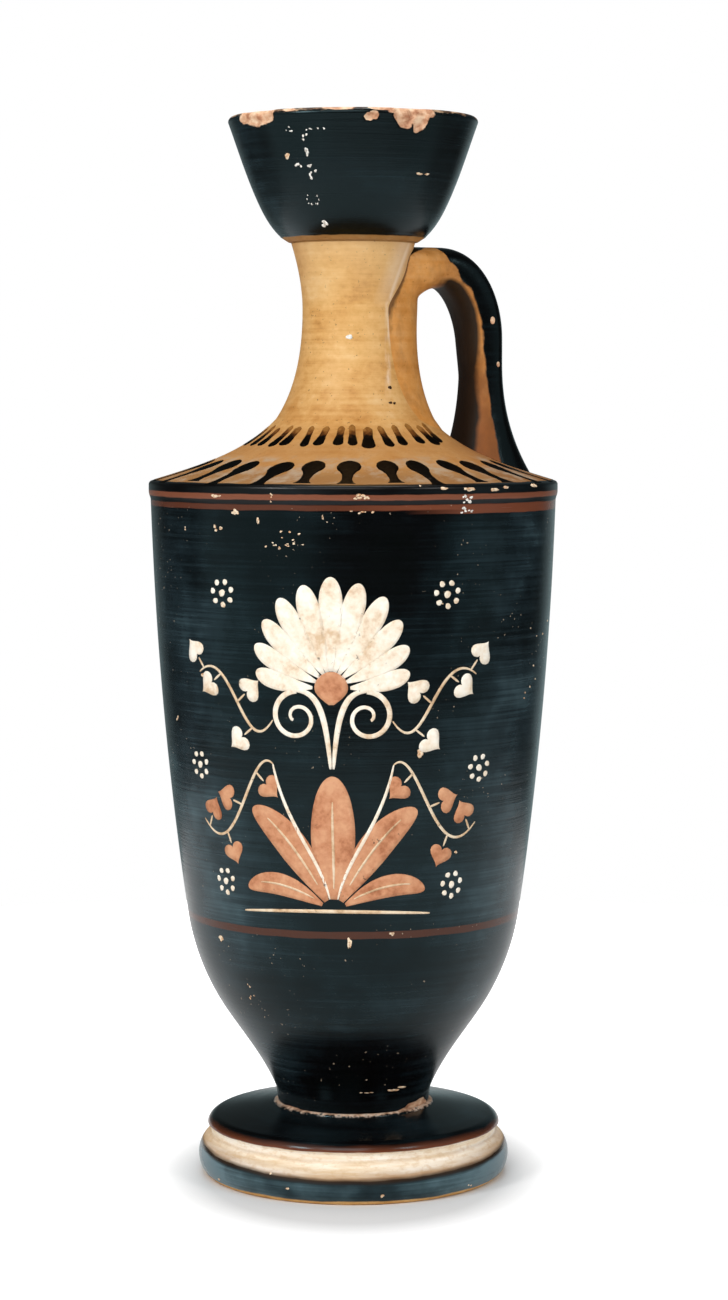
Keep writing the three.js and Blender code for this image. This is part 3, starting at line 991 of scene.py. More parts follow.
# Where the gloss begins: a place out along the bend or up the strap, and the gloss's edge there, from
# the strap's middle towards its back.
gloss_over_bend = ((20.5, 5.6), (23.0, 5.6), (26, 0.6), (31, -2.9), (37.5, -3.4))
gloss_down_strap = ((242, -3.4), (230, -2.3), (219, -1.2), (206, 0.4), (197, 2.0))
strap_top = mouth_foot - strap_clearance


def strap_line(steps):
    """The middle line of the strap in the plane of the axis, as places and directions."""
    half = strap_thickness / 2
    bend_centre = Vector((strap_reach - bend_reach, strap_top - bend_drop))
    across, down = bend_reach - half, bend_drop - half
    start = Vector((neck_waist_radius - 2, strap_top - half))
    bend_start = Vector((bend_centre.x, start.y))
    bend_end = Vector((bend_centre.x + across, bend_centre.y))
    end = Vector((bend_end.x, edge_top - shoulder_wall / 2))
    bend = [
        bend_centre + Vector((across * math.sin(a), down * math.cos(a)))
        for a in [math.pi / 2 * i / 60 for i in range(61)]
    ]
    rough_line = [*straight(start, bend_start, 40), *bend[1:], *straight(bend_end, end, 80)[1:]]
    lengths = [0.0]
    for before, after in zip(rough_line, rough_line[1:]):
        lengths.append(lengths[-1] + (after - before).length)
    places = []
    for i in range(steps + 1):
        want = lengths[-1] * i / steps
        k = max(1, next((j for j, length in enumerate(lengths) if length >= want - 1e-9), 1))
        share = (want - lengths[k - 1]) / (lengths[k] - lengths[k - 1])
        along = (rough_line[k] - rough_line[k - 1]).normalized()
        places.append((rough_line[k - 1].lerp(rough_line[k], share), along))
    return places


def loft(name, rings):
    """A closed skin over rings with the same number of points."""
    sides = len(rings[0])
    points = [p * MM for ring in rings for p in ring]
    faces = []
    for ring in range(len(rings) - 1):
        for side in range(sides):
            following = (side + 1) % sides
            low, high = ring * sides, (ring + 1) * sides
            faces.append((low + side, low + following, high + following, high + side))
    faces.append(tuple(range(sides))[::-1])
    faces.append(tuple(range((len(rings) - 1) * sides, len(rings) * sides)))
    mesh = bpy.data.meshes.new(name)
    mesh.from_pydata(points, [], faces)
    piece = bpy.data.objects.new(name, mesh)
    bpy.context.scene.collection.objects.link(piece)
    return piece


def strap():
    """The strap's sections, swollen where it is pressed on."""
    places = strap_line(strap_sections)
    half = strap_thickness / 2
    first, last = places[0][0], places[-1][0]
    bend_x = strap_reach - bend_reach
    length = sum((after[0] - before[0]).length for before, after in zip(places, places[1:]))
    rings = []
    for number, (centre, along) in enumerate(places):
        near_root = min(1, max(0, (bend_x - centre.x) / (bend_x - first.x)))
        near_foot = min(1, max(0, 1 - (centre.y - last.y) / foot_spread_height))
        spread = near_foot**foot_spread_power
        out = half + spread * foot_spread_out
        over_swell = min(1, number / (len(places) - 1) * length / bend_swell_length)
        swell = bend_swell * math.sin(math.pi * over_swell)
        under = half + swell + spread * foot_spread_in + near_root**2 * root_under
        side = strap_width / 2 + spread * foot_spread_side + near_root * root_widening
        ring = []
        for i in range(strap_sides):
            a = -2 * math.pi * i / strap_sides
            c, s = math.cos(a), math.sin(a)
            up = math.copysign(abs(c) ** (2 / strap_squareness), c) * (out if c > 0 else under)
            wide = math.copysign(abs(s) ** (2 / strap_squareness), s) * side
            point = centre + Vector((-along.y, along.x)) * up
            ring.append(Vector((point.x, wide, point.y)))
        rings.append(ring)
    return loft("strap", rings)


def tongue():
    """The clay of the root, smeared down the neck: lifted most in the handle's plane."""
    lowest = mouth_foot - tongue_length
    outline = [p for p in [*slope[-40:-1], *neck_outline] if lowest - 4 < p.y < strap_top - 2]
    rings = []
    for point in outline[::2]:
        rise = min(1, max(0, (point.y - lowest) / (waist - lowest)))
        top = min(1, max(0, (point.y - waist) / (mouth_foot - waist)))
        top = top * top * (3 - 2 * top)
        lift = tongue_lift * math.sqrt(rise)
        wrap = tongue_wrap + (tongue_wrap_top - tongue_wrap) * top
        ring = []
        for i in range(tongue_sides):
            a = 2 * math.pi * i / tongue_sides
            over = point.x + lift if math.cos(a) > 0 else point.x - clay_overlap - 1
            radius = 1 / math.hypot(math.cos(a) / over, math.sin(a) / (point.x * wrap))
            ring.append(Vector((radius * math.cos(a), radius * math.sin(a), point.y)))
        rings.append(ring)
    return loft("tongue", rings)


def settled(piece):
    """The piece with its modifiers worked into its mesh."""
    depsgraph = bpy.context.evaluated_depsgraph_get()
    made = bpy.data.meshes.new_from_object(piece.evaluated_get(depsgraph), depsgraph=depsgraph)
    piece.modifiers.clear()
    piece.data = made
    return piece


def pressed_together(parts, name):
    """One body of clay from several, remeshed finely and smoothed as by wet fingers."""
    points, faces = [], []
    for part in parts:
        start = len(points)
        points += [v.co.copy() for v in part.data.vertices]
        faces += [[start + i for i in face.vertices] for face in part.data.polygons]
        bpy.data.objects.remove(part)
    mesh = bpy.data.meshes.new(name)
    mesh.from_pydata(points, [], faces)
    piece = bpy.data.objects.new(name, mesh)
    bpy.context.scene.collection.objects.link(piece)
    remesh = piece.modifiers.new("remesh", "REMESH")
    remesh.mode, remesh.voxel_size = "VOXEL", hand_grain * MM
    smooth = piece.modifiers.new("smooth", "SMOOTH")
    smooth.factor, smooth.iterations = hand_smoothing, smoothing_rounds
    return settled(piece)


def core():
    """The inside of neck and shoulder, up to a little under their faces, where no handle clay goes."""
    outline = inner_face([*slope, *neck_outline[1:]], clay_overlap)[::-1]
    profile = [Vector((0, body_top)), Vector((outline[0].x, body_top)), *outline]
    profile += [Vector((outline[-1].x, mouth_top)), Vector((0, mouth_top))]
    return turned("core", profile, handle_clay)


def handle_finish():
    """Clay sides, darker on the outer strap, a gloss back with a wavering edge, and painted shade on the side
    towards the neck and along the crease by the neck.
    """
    material, tree, shader, place = new_surface("gloss_and_clay_handle", 1.45, 0.5, gloss_tint)
    gloss, _ = brushed_gloss(tree, place)
    clay, _ = burnished_clay(tree, place)
    shake = noise_at(tree, place, (4, 4, 5), 3.0) - 0.5
    back = add(tree, "ShaderNodeAttribute", attribute_name="back")["Fac"]
    under = add(tree, "ShaderNodeAttribute", attribute_name="under")["Fac"]
    back = back + shake * 1.8
    painted = add(tree, "ShaderNodeMapRange", {0: back, 1: -0.25, 2: 0.25})
    # Painted shade on the strap's side towards the neck.
    dark = add(tree, "ShaderNodeMapRange", {0: under + shake * 0.5, 1: 0.2, 2: 0.9})
    darkened = noise_at(tree, place, (5, 5, 7), 4.0, 0.6)
    darkened = add(tree, "ShaderNodeMapRange", {0: darkened, 1: 0.42, 2: 0.64, 4: 0.7})
    outer = add(tree, "ShaderNodeMapRange", (towards(tree, place, 0), outside_from, outside_full))
    height = add(tree, "ShaderNodeSeparateXYZ", {0: place})[2]
    # The outer strap is painted darker, more towards its foot.
    outer_strap_darkening = add(tree, "ShaderNodeMapRange", {0: height, 1: outer_darkening_below, 2: outer_darkening_full, 4: 0.45})
    finish = layered(tree, clay, (0.5, "#DC882C"))
    outer_strap_darkening = outer * (outer_strap_darkening + 0.5)
    finish = layered(tree, finish, (outer_strap_darkening, "#8A4E1E"))
    # Darker patches, more on the outer strap.
    darkened = darkened * (outer * 0.45 + 0.4)
    finish = layered(tree, finish, (darkened, "#7A471B"))
    # Painted shade along the crease where the handle's root meets the neck.
    crease = add(tree, "ShaderNodeAttribute", attribute_name="crease")["Fac"]
    finish = layered(
        tree,
        finish,
        (add(tree, "ShaderNodeMapRange", {0: crease + shake, 1: 0.35, 2: 0.75, 4: 0.8}), "#4A2C16"),
        (dark * 0.96, "#1B110A"),
        (painted, gloss),
    )
    chipped, fresh = bared_clay(tree, place)
    finish = layered(tree, finish, (chipped, fresh))
    rough = add(tree, "ShaderNodeMapRange", {0: painted, 3: 0.6, 4: 0.26})
    coat(tree, shader, finish, rough, noise_at(tree, place, (5, 5, 9), 4.0), 0.25)
    return material


def gloss_edge(centre):
    """How far out from the strap's middle its gloss begins, by the place along the strap."""
    if centre.y > gloss_down_strap[0][0] + 1e-6:
        keys, value = gloss_over_bend, centre.x
    else:
        keys, value = [(-height, edge) for height, edge in gloss_down_strap], -centre.y
    value = min(max(value, keys[0][0]), keys[-1][0])
    for (low_key, low_value), (high_key, high_value) in zip(keys, keys[1:]):
        if value <= high_key:
            return low_value + (high_value - low_value) * (value - low_key) / (high_key - low_key)
    return keys[-1][1]


def radius_on_neck(height):
    """The neck's radius at a height."""
    return min(neck_outline, key=lambda point: abs(point.y - height)).x


def mark_strap(piece):
    """Stores on each point how far it is past the edge of the gloss, how deep it lies in the painted shade on
    the side towards the neck and in the crease by the neck, and where the gloss is chipped.
    """
    places = strap_line(marking_steps)
    back, under, crease, chipped = [], [], [], []
    for vertex in piece.data.vertices:
        x, y, z = vertex.co / MM
        flat = Vector((x, z))
        centre, along = min(places, key=lambda place: (place[0] - flat).length_squared)
        up = (flat - centre).dot(Vector((-along.y, along.x)))
        past_edge = up - gloss_edge(centre) if centre.x > root_gloss_reach else -6.0
        root_edge = (
            strap_top
            - root_gloss_drop
            + root_gloss_rise * math.sqrt(max(0, math.hypot(x, y) - neck_waist_radius))
        )
        past_edge = max(past_edge, z - root_edge)
        back.append(max(-6.0, min(6.0, past_edge)))
        # How deep a point lies in the painted shade on the strap's side towards the neck.
        low = min(1, max(0, (inner_shade_low_top - z) / inner_shade_low_reach))
        inwards = min(1, max(0, (-up - inner_shade_edge - inner_shade_recess * low) / inner_shade_fade))
        past_bend = min(1, max(0, (centre.x - 22) / 5))
        under.append(inwards * past_bend if up > -tongue_depth else 0.0)
        # How near a point lies to the crease by the neck, where shade is painted.
        on_neck = math.hypot(x, y) - radius_on_neck(z) if z > neck_foot else 6.0
        crease.append(max(0.0, 1 - on_neck / 0.75) * min(1, max(0, (z - crease_end) / 12)))
        depths = [1 - math.hypot(x - at_x, (z - at_z) * 0.7) / size for at_x, at_z, size in gloss_chips]
        chipped.append(max(depths) if y < 0 else -1.0)
    for name, values in (("back", back), ("under", under), ("crease", crease), ("chipped", chipped)):
        layer = piece.data.attributes.new(name, "FLOAT", "POINT")
        layer.data.foreach_set("value", values)


handle_clay = handle_finish()
handle = pressed_together((strap(), tongue()), "handle_dressed")
hollow = core()
cut = handle.modifiers.new("cut", "BOOLEAN")
cut.operation, cut.object, cut.solver = "DIFFERENCE", hollow, "EXACT"
settled(handle)
bpy.data.objects.remove(hollow)
handle.data.materials.clear()
handle.data.materials.append(handle_clay)
for face in handle.data.polygons:
    face.use_smooth, face.material_index = True, 0
mark_strap(handle)
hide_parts("handle")
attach(handle, "root")


# The shoulder's brushwork: a ring of small tongues under the neck and a ring of drooping buds outside it.
# Both are traditional borders, painted freehand in slip that fired brown where it was thin and black
# where it pooled. Each stroke is a thin film of slip, sunk a little in the clay.
tongue_count = 38
tongue_start = 23.6
tongue_end = 31.0
tongue_half_widths = (
    (0.0, 0.4),
    (0.1, 1.1),
    (0.45, 1.1),
    (0.62, 1.4),
    (0.86, 1.65),
    (0.96, 1.15),
    (1.0, 0.3),
)
tongue_gap = 48
bud_count = 28
bud_start = 39.2
bud_end = 56.4
bud_half_widths = (
    (0.0, 0.4),
    (0.04, 1.7),
    (0.12, 2.6),
    (0.25, 3.05),
    (0.36, 2.75),
    (0.46, 1.95),
    (0.56, 1.4),
    (0.8, 1.25),
    (0.92, 1.6),
    (1.0, 2.3),
)
bud_gap = 11
rim_left_bare = 0.6
slip_thin_radius = 24.5
slip_pooled_radius = 29.5
stroke_steps = 22
stroke_across = 6
slip_film = 0.07
slip_sink = 0.12


def shared(keys, t):
    """A smooth value between the keys of a short run."""
    for (low, low_value), (high, high_value) in zip(keys, keys[1:]):
        if t <= high:
            share = (t - low) / (high - low)
            return low_value + (high_value - low_value) * (share * share * (3 - 2 * share))
    return keys[-1][1]


def closed_film(tree, given):
    """A flat mark with a top one metre above it and sides between, so that it can become a film."""
    lift = {"Mesh": given["Geometry"], "Offset": (0, 0, 1), "Offset Scale": 1.0, "Individual": False}
    raised = add(tree, "GeometryNodeExtrudeMesh", lift)
    under = add(tree, "GeometryNodeFlipFaces", {"Mesh": given["Geometry"]})
    joined = add(tree, "GeometryNodeJoinGeometry", {0: raised})
    feed(tree, joined.socket.node, {0: under})
    return add(tree, "GeometryNodeMergeByDistance", {"Geometry": joined, "Distance": 1e-6})


def found_surface(tree, given, start, way):
    """Where a ray from each point meets the surface that the mark is laid on."""
    surface = add(tree, "GeometryNodeObjectInfo", {"Object": given["Surface"]})["Geometry"]
    ray = {"Target Geometry": surface, "Source Position": start, "Ray Direction": way, "Ray Length": 1.0}
    return add(tree, "GeometryNodeRaycast", ray)["Hit Position"]


def film_rise(tree, given, height):
    """How far a point ends above the surface: the film's thickness at its top, and sunk at its underside."""
    is_top = add(tree, "ShaderNodeMath", (height, 0.5), operation="GREATER_THAN")
    return is_top * (given["Film"] + given["Sink"]) - given["Sink"]


def stroke_tree():
    """Lays flat strokes round a sloping surface, each a little different, as a steady hand does."""
    tree = new_tree(
        "strokes round the shoulder",
        Count="NodeSocketInt",
        Start="NodeSocketFloat",
        Unevenness="NodeSocketFloat",
        Handle_Gap="NodeSocketFloat",
        Rim="NodeSocketFloat",
        Film="NodeSocketFloat",
        Sink="NodeSocketFloat",
        Seed="NodeSocketInt",
        Surface="NodeSocketObject",
        Finish="NodeSocketMaterial",
    )
    given = add(tree, "NodeGroupInput")
    closed = closed_film(tree, given)
    spots = add(tree, "GeometryNodeMeshLine", {"Count": given["Count"], "Offset": (0, 0, 0)})
    copies = add(tree, "GeometryNodeInstanceOnPoints", {"Points": spots, "Instance": closed})
    index = add(tree, "GeometryNodeInputIndex")
    numbered = add(
        tree,
        "GeometryNodeStoreNamedAttribute",
        {"Geometry": copies, "Name": "stroke", "Value": index},
        data_type="INT",
        domain="INSTANCE",
    )
    real = add(tree, "GeometryNodeRealizeInstances", {"Geometry": numbered})
    stroke = add(tree, "GeometryNodeInputNamedAttribute", {"Name": "stroke"}, data_type="INT")

    def by_hand(offset):
        """A number of the stroke's own, from minus one to one."""
        seed = given["Seed"] + offset
        inputs = {2: -1.0, 3: 1.0, "ID": stroke, "Seed": seed}
        return add(tree, "FunctionNodeRandomValue", inputs, data_type="FLOAT")[1]

    place = add(tree, "ShaderNodeSeparateXYZ", {0: add(tree, "GeometryNodeInputPosition")})
    uneven = given["Unevenness"]
    past_start = place[0] - given["Start"]
    longer = 1.0 + by_hand(1) * uneven
    shifted = by_hand(2) * uneven * 0.008
    radius = given["Start"] + shifted + past_start * longer
    radius = add(tree, "ShaderNodeMath", (radius, given["Rim"]), operation="MINIMUM")
    wider = 1.0 + by_hand(3) * uneven * 2.4
    across = place[1] * wider
    lean_over = by_hand(4) * uneven * past_start
    across = across + lean_over * 1.6
    slot_turn = (stroke + by_hand(5) * (uneven * 2.0)) / given["Count"]
    middle = (slot_turn - 0.5) * (2 * math.pi)
    angle = middle + across / radius
    above = add(
        tree,
        "ShaderNodeCombineXYZ",
        {
            0: radius * add(tree, "ShaderNodeMath", (angle,), operation="COSINE"),
            1: radius * add(tree, "ShaderNodeMath", (angle,), operation="SINE"),
            2: 0.5,
        },
    )
    hit = found_surface(tree, given, above, (0, 0, -1))
    rise = add(tree, "ShaderNodeCombineXYZ", {2: film_rise(tree, given, place[2])})
    laid = add(tree, "ShaderNodeVectorMath", {0: hit, 1: rise}, operation="ADD")
    painted = add(tree, "GeometryNodeSetPosition", {"Geometry": real, "Position": laid})
    hidden = add(
        tree,
        "ShaderNodeMath",
        (add(tree, "ShaderNodeMath", (middle,), operation="ABSOLUTE"), given["Handle Gap"]),
        operation="LESS_THAN",
    )
    kept = add(tree, "GeometryNodeDeleteGeometry", {"Geometry": painted, "Selection": hidden})
    smooth = add(tree, "GeometryNodeSetShadeSmooth", {"Geometry": kept, "Shade Smooth": True})
    return finished(tree, smooth, given["Finish"])


def flat_stroke(name, start, end, half_widths, steps, across):
    """One brush stroke lying flat, along X from start to end, with rounded ends."""
    points, faces = [], []
    for i in range(steps + 1):
        t = (1 - math.cos(math.pi * i / steps)) / 2
        half = shared(half_widths, t)
        for j in range(across + 1):
            points.append(((start + (end - start) * t) * MM, half * (2 * j / across - 1) * MM, 0))
    for i in range(steps):
        for j in range(across):
            a = i * (across + 1) + j
            faces.append((a, a + across + 1, a + across + 2, a + 1))
    mesh = bpy.data.meshes.new(name)
    mesh.from_pydata(points, [], faces)
    return mesh


def slip_finish():
    """Slip that fired brown where the brush left it thin, near the neck, and glossy black where it pooled."""
    material, tree, shader, place = new_surface("pooled_slip", 1.45, 0.04)
    radius = from_axis(tree, add(tree, "ShaderNodeSeparateXYZ", {0: place}))
    blotches = noise_at(tree, place, (1.8, 1.8, 1.8), 3.0, 0.6)
    pooled = {0: radius, 1: slip_thin_radius, 2: slip_pooled_radius, 4: 0.55}
    pooled = blotches * 0.5 + add(tree, "ShaderNodeMapRange", pooled)
    finish = add(
        tree,
        "ShaderNodeValToRGB",
        (pooled,),
        stops=((0.22, "#9A6A34"), (0.38, "#6B3F1A"), (0.54, "#150D08"), (0.66, "#050403")),
    )
    dusty = add(
        tree,
        "ShaderNodeMapRange",
        {0: noise_at(tree, place, (3, 3, 3), 4.0, 0.7), 1: 0.64, 2: 0.72, 4: 0.2},
    )
    finish = layered(tree, finish, (dusty, "#6E6058"))
    rough = add(tree, "ShaderNodeMapRange", {0: blotches, 3: 0.35, 4: 0.6})
    coat(tree, shader, finish, rough, blotches, 0.03)
    return material


strokes = stroke_tree()
slip = slip_finish()
for name, start, end, widths, count, gap, seed, unevenness in (
    ("small_tongues", tongue_start, tongue_end, tongue_half_widths, tongue_count, tongue_gap, 3, 0.1),
    ("drooping_buds", bud_start, bud_end, bud_half_widths, bud_count, bud_gap, 11, 0.07),
):
    border = from_nodes(
        name,
        flat_stroke(name + "_stroke", start, end, widths, stroke_steps, stroke_across),
        strokes,
        Count=count,
        Start=start * MM,
        Unevenness=unevenness,
        Handle_Gap=math.radians(gap),
        Rim=(edge_radius - rim_left_bare) * MM,
        Film=slip_film * MM,
        Sink=slip_sink * MM,
        Seed=seed,
        Surface=shoulder,
        Finish=slip,
    )
    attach(border, "root")


# The picture band: a palmette over a lotus with tendrils, ivy leaves and dotted rosettes, laid on the gloss.
# The marks are clay mixed thick, cream white and pinkish, that dried as a matt film raised off the wall,
# and thin lines drawn with a fine brush.
band_middle_degrees = -120
band_radius = 54.0
clay_film = 0.16
line_film = 0.09
picture_sink = 0.2
petal_count = 11
petal_fan = 84
petal_length = 25.0
petal_half_width = 3.1
palmette_height = 143.0
heart_radius = 5.6
lotus_foot = 84.0
lotus_height = 34.0
vine_half_width = 0.42
leaf_size = 6.0
rosette_dot = 0.95
rosette_ring = 3.2


def wall_tree():
    """Wraps flat marks round the jar's wall and gives each its thickness of clay."""
    tree = new_tree(
        "laid on the wall",
        Middle="NodeSocketFloat",
        Radius="NodeSocketFloat",
        Film="NodeSocketFloat",
        Sink="NodeSocketFloat",
        Surface="NodeSocketObject",
        Finish="NodeSocketMaterial",
    )
    given = add(tree, "NodeGroupInput")
    closed = closed_film(tree, given)
    place = add(tree, "ShaderNodeSeparateXYZ", {0: add(tree, "GeometryNodeInputPosition")})
    angle = given["Middle"] + place[0] / given["Radius"]
    outwards = add(
        tree,
        "ShaderNodeCombineXYZ",
        {
            0: add(tree, "ShaderNodeMath", (angle,), operation="COSINE"),
            1: add(tree, "ShaderNodeMath", (angle,), operation="SINE"),
        },
    )
    inwards = add(tree, "ShaderNodeVectorMath", {0: outwards, 3: -1.0}, operation="SCALE")
    height = add(tree, "ShaderNodeCombineXYZ", {2: place[1]})
    outside = add(
        tree,
        "ShaderNodeVectorMath",
        {0: outwards, 1: (0.3, 0.3, 0.3), 2: height},
        operation="MULTIPLY_ADD",
    )
    hit = found_surface(tree, given, outside, inwards)
    depth = film_rise(tree, given, place[2])
    rise = add(tree, "ShaderNodeVectorMath", {0: outwards, 3: depth}, operation="SCALE")
    laid = add(tree, "ShaderNodeVectorMath", {0: hit, 1: rise}, operation="ADD")
    wrapped = add(tree, "GeometryNodeSetPosition", {"Geometry": closed, "Position": laid})
    smooth = add(tree, "GeometryNodeSetShadeSmooth", {"Geometry": wrapped, "Shade Smooth": True})
    return finished(tree, smooth, given["Finish"])


class Marks:
    """Flat marks of one colour, each a strip of small faces along a line with a changing width."""

    def __init__(self):
        self.points, self.faces = [], []

    def strip(self, line, halves, across=4):
        """A strip along a line. Its left side is to the left of the line's way."""
        start = len(self.points)
        for i, point in enumerate(line):
            along = (line[min(i + 1, len(line) - 1)] - line[max(i - 1, 0)]).normalized()
            side = Vector((-along.y, along.x))
            for j in range(across + 1):
                spot = point + side * halves[i] * (1 - 2 * j / across)
                self.points.append((spot.x * MM, spot.y * MM, 0))
        for i in range(len(line) - 1):
            for j in range(across):
                a = start + i * (across + 1) + j
                self.faces.append((a, a + 1, a + across + 2, a + across + 1))

    def curve(self, start, bend_one, bend_two, end, half, taper=0.35, steps=40):
        """A brush line on a curve, thinner at both ends."""
        line = []
        for i in range(steps + 1):
            t = i / steps
            u = 1 - t
            near_start = u**3 * Vector(start) + 3 * u * u * t * Vector(bend_one)
            line.append(near_start + 3 * u * t * t * Vector(bend_two) + t**3 * Vector(end))
        swells = [math.sin(math.pi * i / steps) ** 0.5 for i in range(steps + 1)]
        self.strip(line, [half * (taper + (1 - taper) * swell) for swell in swells], 2)
        return line

    def petal(self, root, degrees, length, half, bend=0.0, blunt=0.72, steps=22, across=6):
        """A petal: narrow at its root, widest near the tip, and bent to one side by a share of its length."""
        line, halves = [], []
        for i in range(steps + 1):
            t = math.sin(math.pi / 2 * i / steps)
            heading = math.radians(degrees) + bend * t * t
            line.append(Vector(root) + Vector((math.sin(heading), math.cos(heading))) * length * t)
            if t < blunt:
                swell = 0.16 + 0.84 * math.sin(math.pi * min(1, t / (2 * blunt)))
            else:
                swell = math.sqrt(max(0, 1 - ((t - blunt) / (1 - blunt)) ** 2))
            halves.append(max(0.03, half * swell))
        self.strip(line, halves, across)

    def disc(self, centre, radius, rings=2, sides=16, flat=1.0, ragged=0.07):
        """A round dab, a little uneven."""
        start = len(self.points)
        phase = chance.uniform(0, 2 * math.pi)
        self.points.append((centre[0] * MM, centre[1] * MM, 0))
        for ring in range(1, rings + 1):
            for side in range(sides):
                a = 2 * math.pi * side / sides
                uneven = (
                    math.sin(2 * a + phase)
                    + 0.6 * math.sin(3 * a - phase)
                    + 0.4 * math.sin(5 * a + 2 * phase)
                )
                r = radius * ring / rings * (1 + ragged * uneven)
                x, y = centre[0] + r * math.cos(a), centre[1] + flat * r * math.sin(a)
                self.points.append((x * MM, y * MM, 0))
        for side in range(sides):
            following = (side + 1) % sides
            self.faces.append((start, start + 1 + side, start + 1 + following))
            for ring in range(rings - 1):
                low, high = start + 1 + ring * sides, start + 1 + (ring + 1) * sides
                self.faces.append((low + side, high + side, high + following, low + following))

    def leaf(self, root, degrees, size, sides=30):
        """An ivy leaf: a heart with its notch at the stalk and its point outwards."""
        heading = math.radians(degrees)
        along = Vector((math.sin(heading), math.cos(heading)))
        aside = Vector((math.cos(heading), -math.sin(heading)))
        start = len(self.points)
        for reach in (0.0, 0.55, 1.0):
            for i in range(sides if reach else 1):
                a = 2 * math.pi * i / sides
                wide = 0.62 * math.sin(a) ** 3
                heart = 13 * math.cos(a) - 5 * math.cos(2 * a) - 2 * math.cos(3 * a) - math.cos(4 * a)
                long = 0.42 - heart / 29
                spot = Vector(root) + (along * (0.4 + (long - 0.4) * reach) + aside * wide * reach) * size
                self.points.append((spot.x * MM, spot.y * MM, 0))
        for i in range(sides):
            following = (i + 1) % sides
            self.faces.append((start, start + 1 + i, start + 1 + following))
            low, high = start + 1, start + 1 + sides
            self.faces.append((low + i, high + i, high + following, low + following))

    def mesh(self, name):
        """The marks as one flat mesh."""
        made = bpy.data.meshes.new(name)
        made.from_pydata(self.points, [], self.faces)
        return made


def spiral(centre, radius, turns, start_degrees, way, steps=60):
    """A volute that winds inwards."""
    line = []
    for i in range(steps + 1):
        t = i / steps
        a = math.radians(start_degrees) + way * 2 * math.pi * turns * t
        r = radius * (1 - 0.82 * t)
        line.append(Vector(centre) + Vector((math.cos(a), math.sin(a))) * r)
    return line


cream, pink, fine = Marks(), Marks(), Marks()

for i in range(petal_count):
    share = 2 * i / (petal_count - 1) - 1
    length = petal_length * (1 - 0.36 * share * share) * (1 + chance.uniform(-0.03, 0.03))
    root = (share * heart_radius * 0.9, palmette_height + heart_radius * (1 - 0.8 * share * share))
    cream.petal(root, share * petal_fan, length, petal_half_width * (1 - 0.2 * abs(share)), -0.16 * share)

pink.petal((0, palmette_height - 3.5), 0, 9.0, heart_radius * 0.8, 0, 0.5, 16, 6)
pink.petal((0, lotus_foot + 2), 0, lotus_height, 6.4, 0, 0.5, 30, 8)
for side in (-1, 1):
    pink.petal((side * 2.2, lotus_foot + 1.5), side * 30, lotus_height * 0.98, 4.6, side * 0.20, 0.55, 28, 6)
    pink.petal((side * 3.5, lotus_foot + 0.5), side * 62, lotus_height * 0.72, 3.1, side * 0.34, 0.6, 24, 5)
    cream.curve(
        (side * 1.2, lotus_foot + 2),
        (side * 4, lotus_foot + 14),
        (side * 14, lotus_foot + 22),
        (side * 17, lotus_foot + 39),
        0.5,
    )
    cream.strip(
        spiral((side * 9.5, palmette_height - 7.0), 7.2, 1.35, 90, -side),
        [0.75 - 0.006 * i for i in range(61)],
        3,
    )
    cream.curve(
        (side * 9.5, palmette_height + 0.2),
        (side * 3.5, palmette_height + 0.4),
        (side * 1.5, palmette_height - 6),
        (side * 0.4, lotus_foot + lotus_height + 4),
        0.8,
    )
    vine = fine.curve(
        (side * 16.5, palmette_height - 8),
        (side * 26, palmette_height - 22),
        (side * 28, palmette_height + 14),
        (side * 41, palmette_height + 4),
        vine_half_width,
        steps=60,
    )
    lower = fine.curve(
        (side * 17, lotus_foot + 39),
        (side * 24, lotus_foot + 46),
        (side * 30, lotus_foot + 6),
        (side * 44, lotus_foot + 22),
        vine_half_width,
        steps=60,
    )
    for line, marks in ((vine, cream), (lower, pink)):
        for k, turn in ((16, 1), (30, -1), (44, 1), (57, -1)):
            point = line[k]
            along = (line[k + 1] - line[k - 1]).normalized()
            heading = math.degrees(math.atan2(along.x, along.y))
            stalk = heading + turn * side * 78
            tip = point + Vector((math.sin(math.radians(stalk)), math.cos(math.radians(stalk)))) * 3.4
            fine.curve(point, point.lerp(tip, 0.3), point.lerp(tip, 0.7), tip, 0.3, steps=8)
            marks.leaf(tip, stalk, leaf_size)
    for across, height in ((31, palmette_height + 26), (37, lotus_foot + 5), (44, palmette_height - 22)):
        cream.disc((side * across, height), rosette_dot)
        for k in range(7):
            a = 2 * math.pi * k / 7 + 0.3
            cream.disc(
                (side * across + rosette_ring * math.cos(a), height + rosette_ring * math.sin(a)),
                rosette_dot * 0.8,
            )
fine.curve(
    (-30, lotus_foot - 2.5),
    (-10, lotus_foot - 1),
    (10, lotus_foot - 1),
    (30, lotus_foot - 2.5),
    0.5,
    steps=60,
)
ribs = Marks()
ribs.curve((0, lotus_foot + 5), (0.3, lotus_foot + 12), (-0.3, lotus_foot + 20), (0, lotus_foot + 29), 0.38)
for side in (-1, 1):
    ribs.curve(
        (side * 4.8, lotus_foot + 6),
        (side * 8.5, lotus_foot + 12),
        (side * 13.5, lotus_foot + 19),
        (side * 19.5, lotus_foot + 24),
        0.34,
    )
    ribs.curve(
        (side * 6.0, lotus_foot + 2.2),
        (side * 11, lotus_foot + 4.6),
        (side * 17, lotus_foot + 6.4),
        (side * 23, lotus_foot + 6.0),
        0.3,
    )


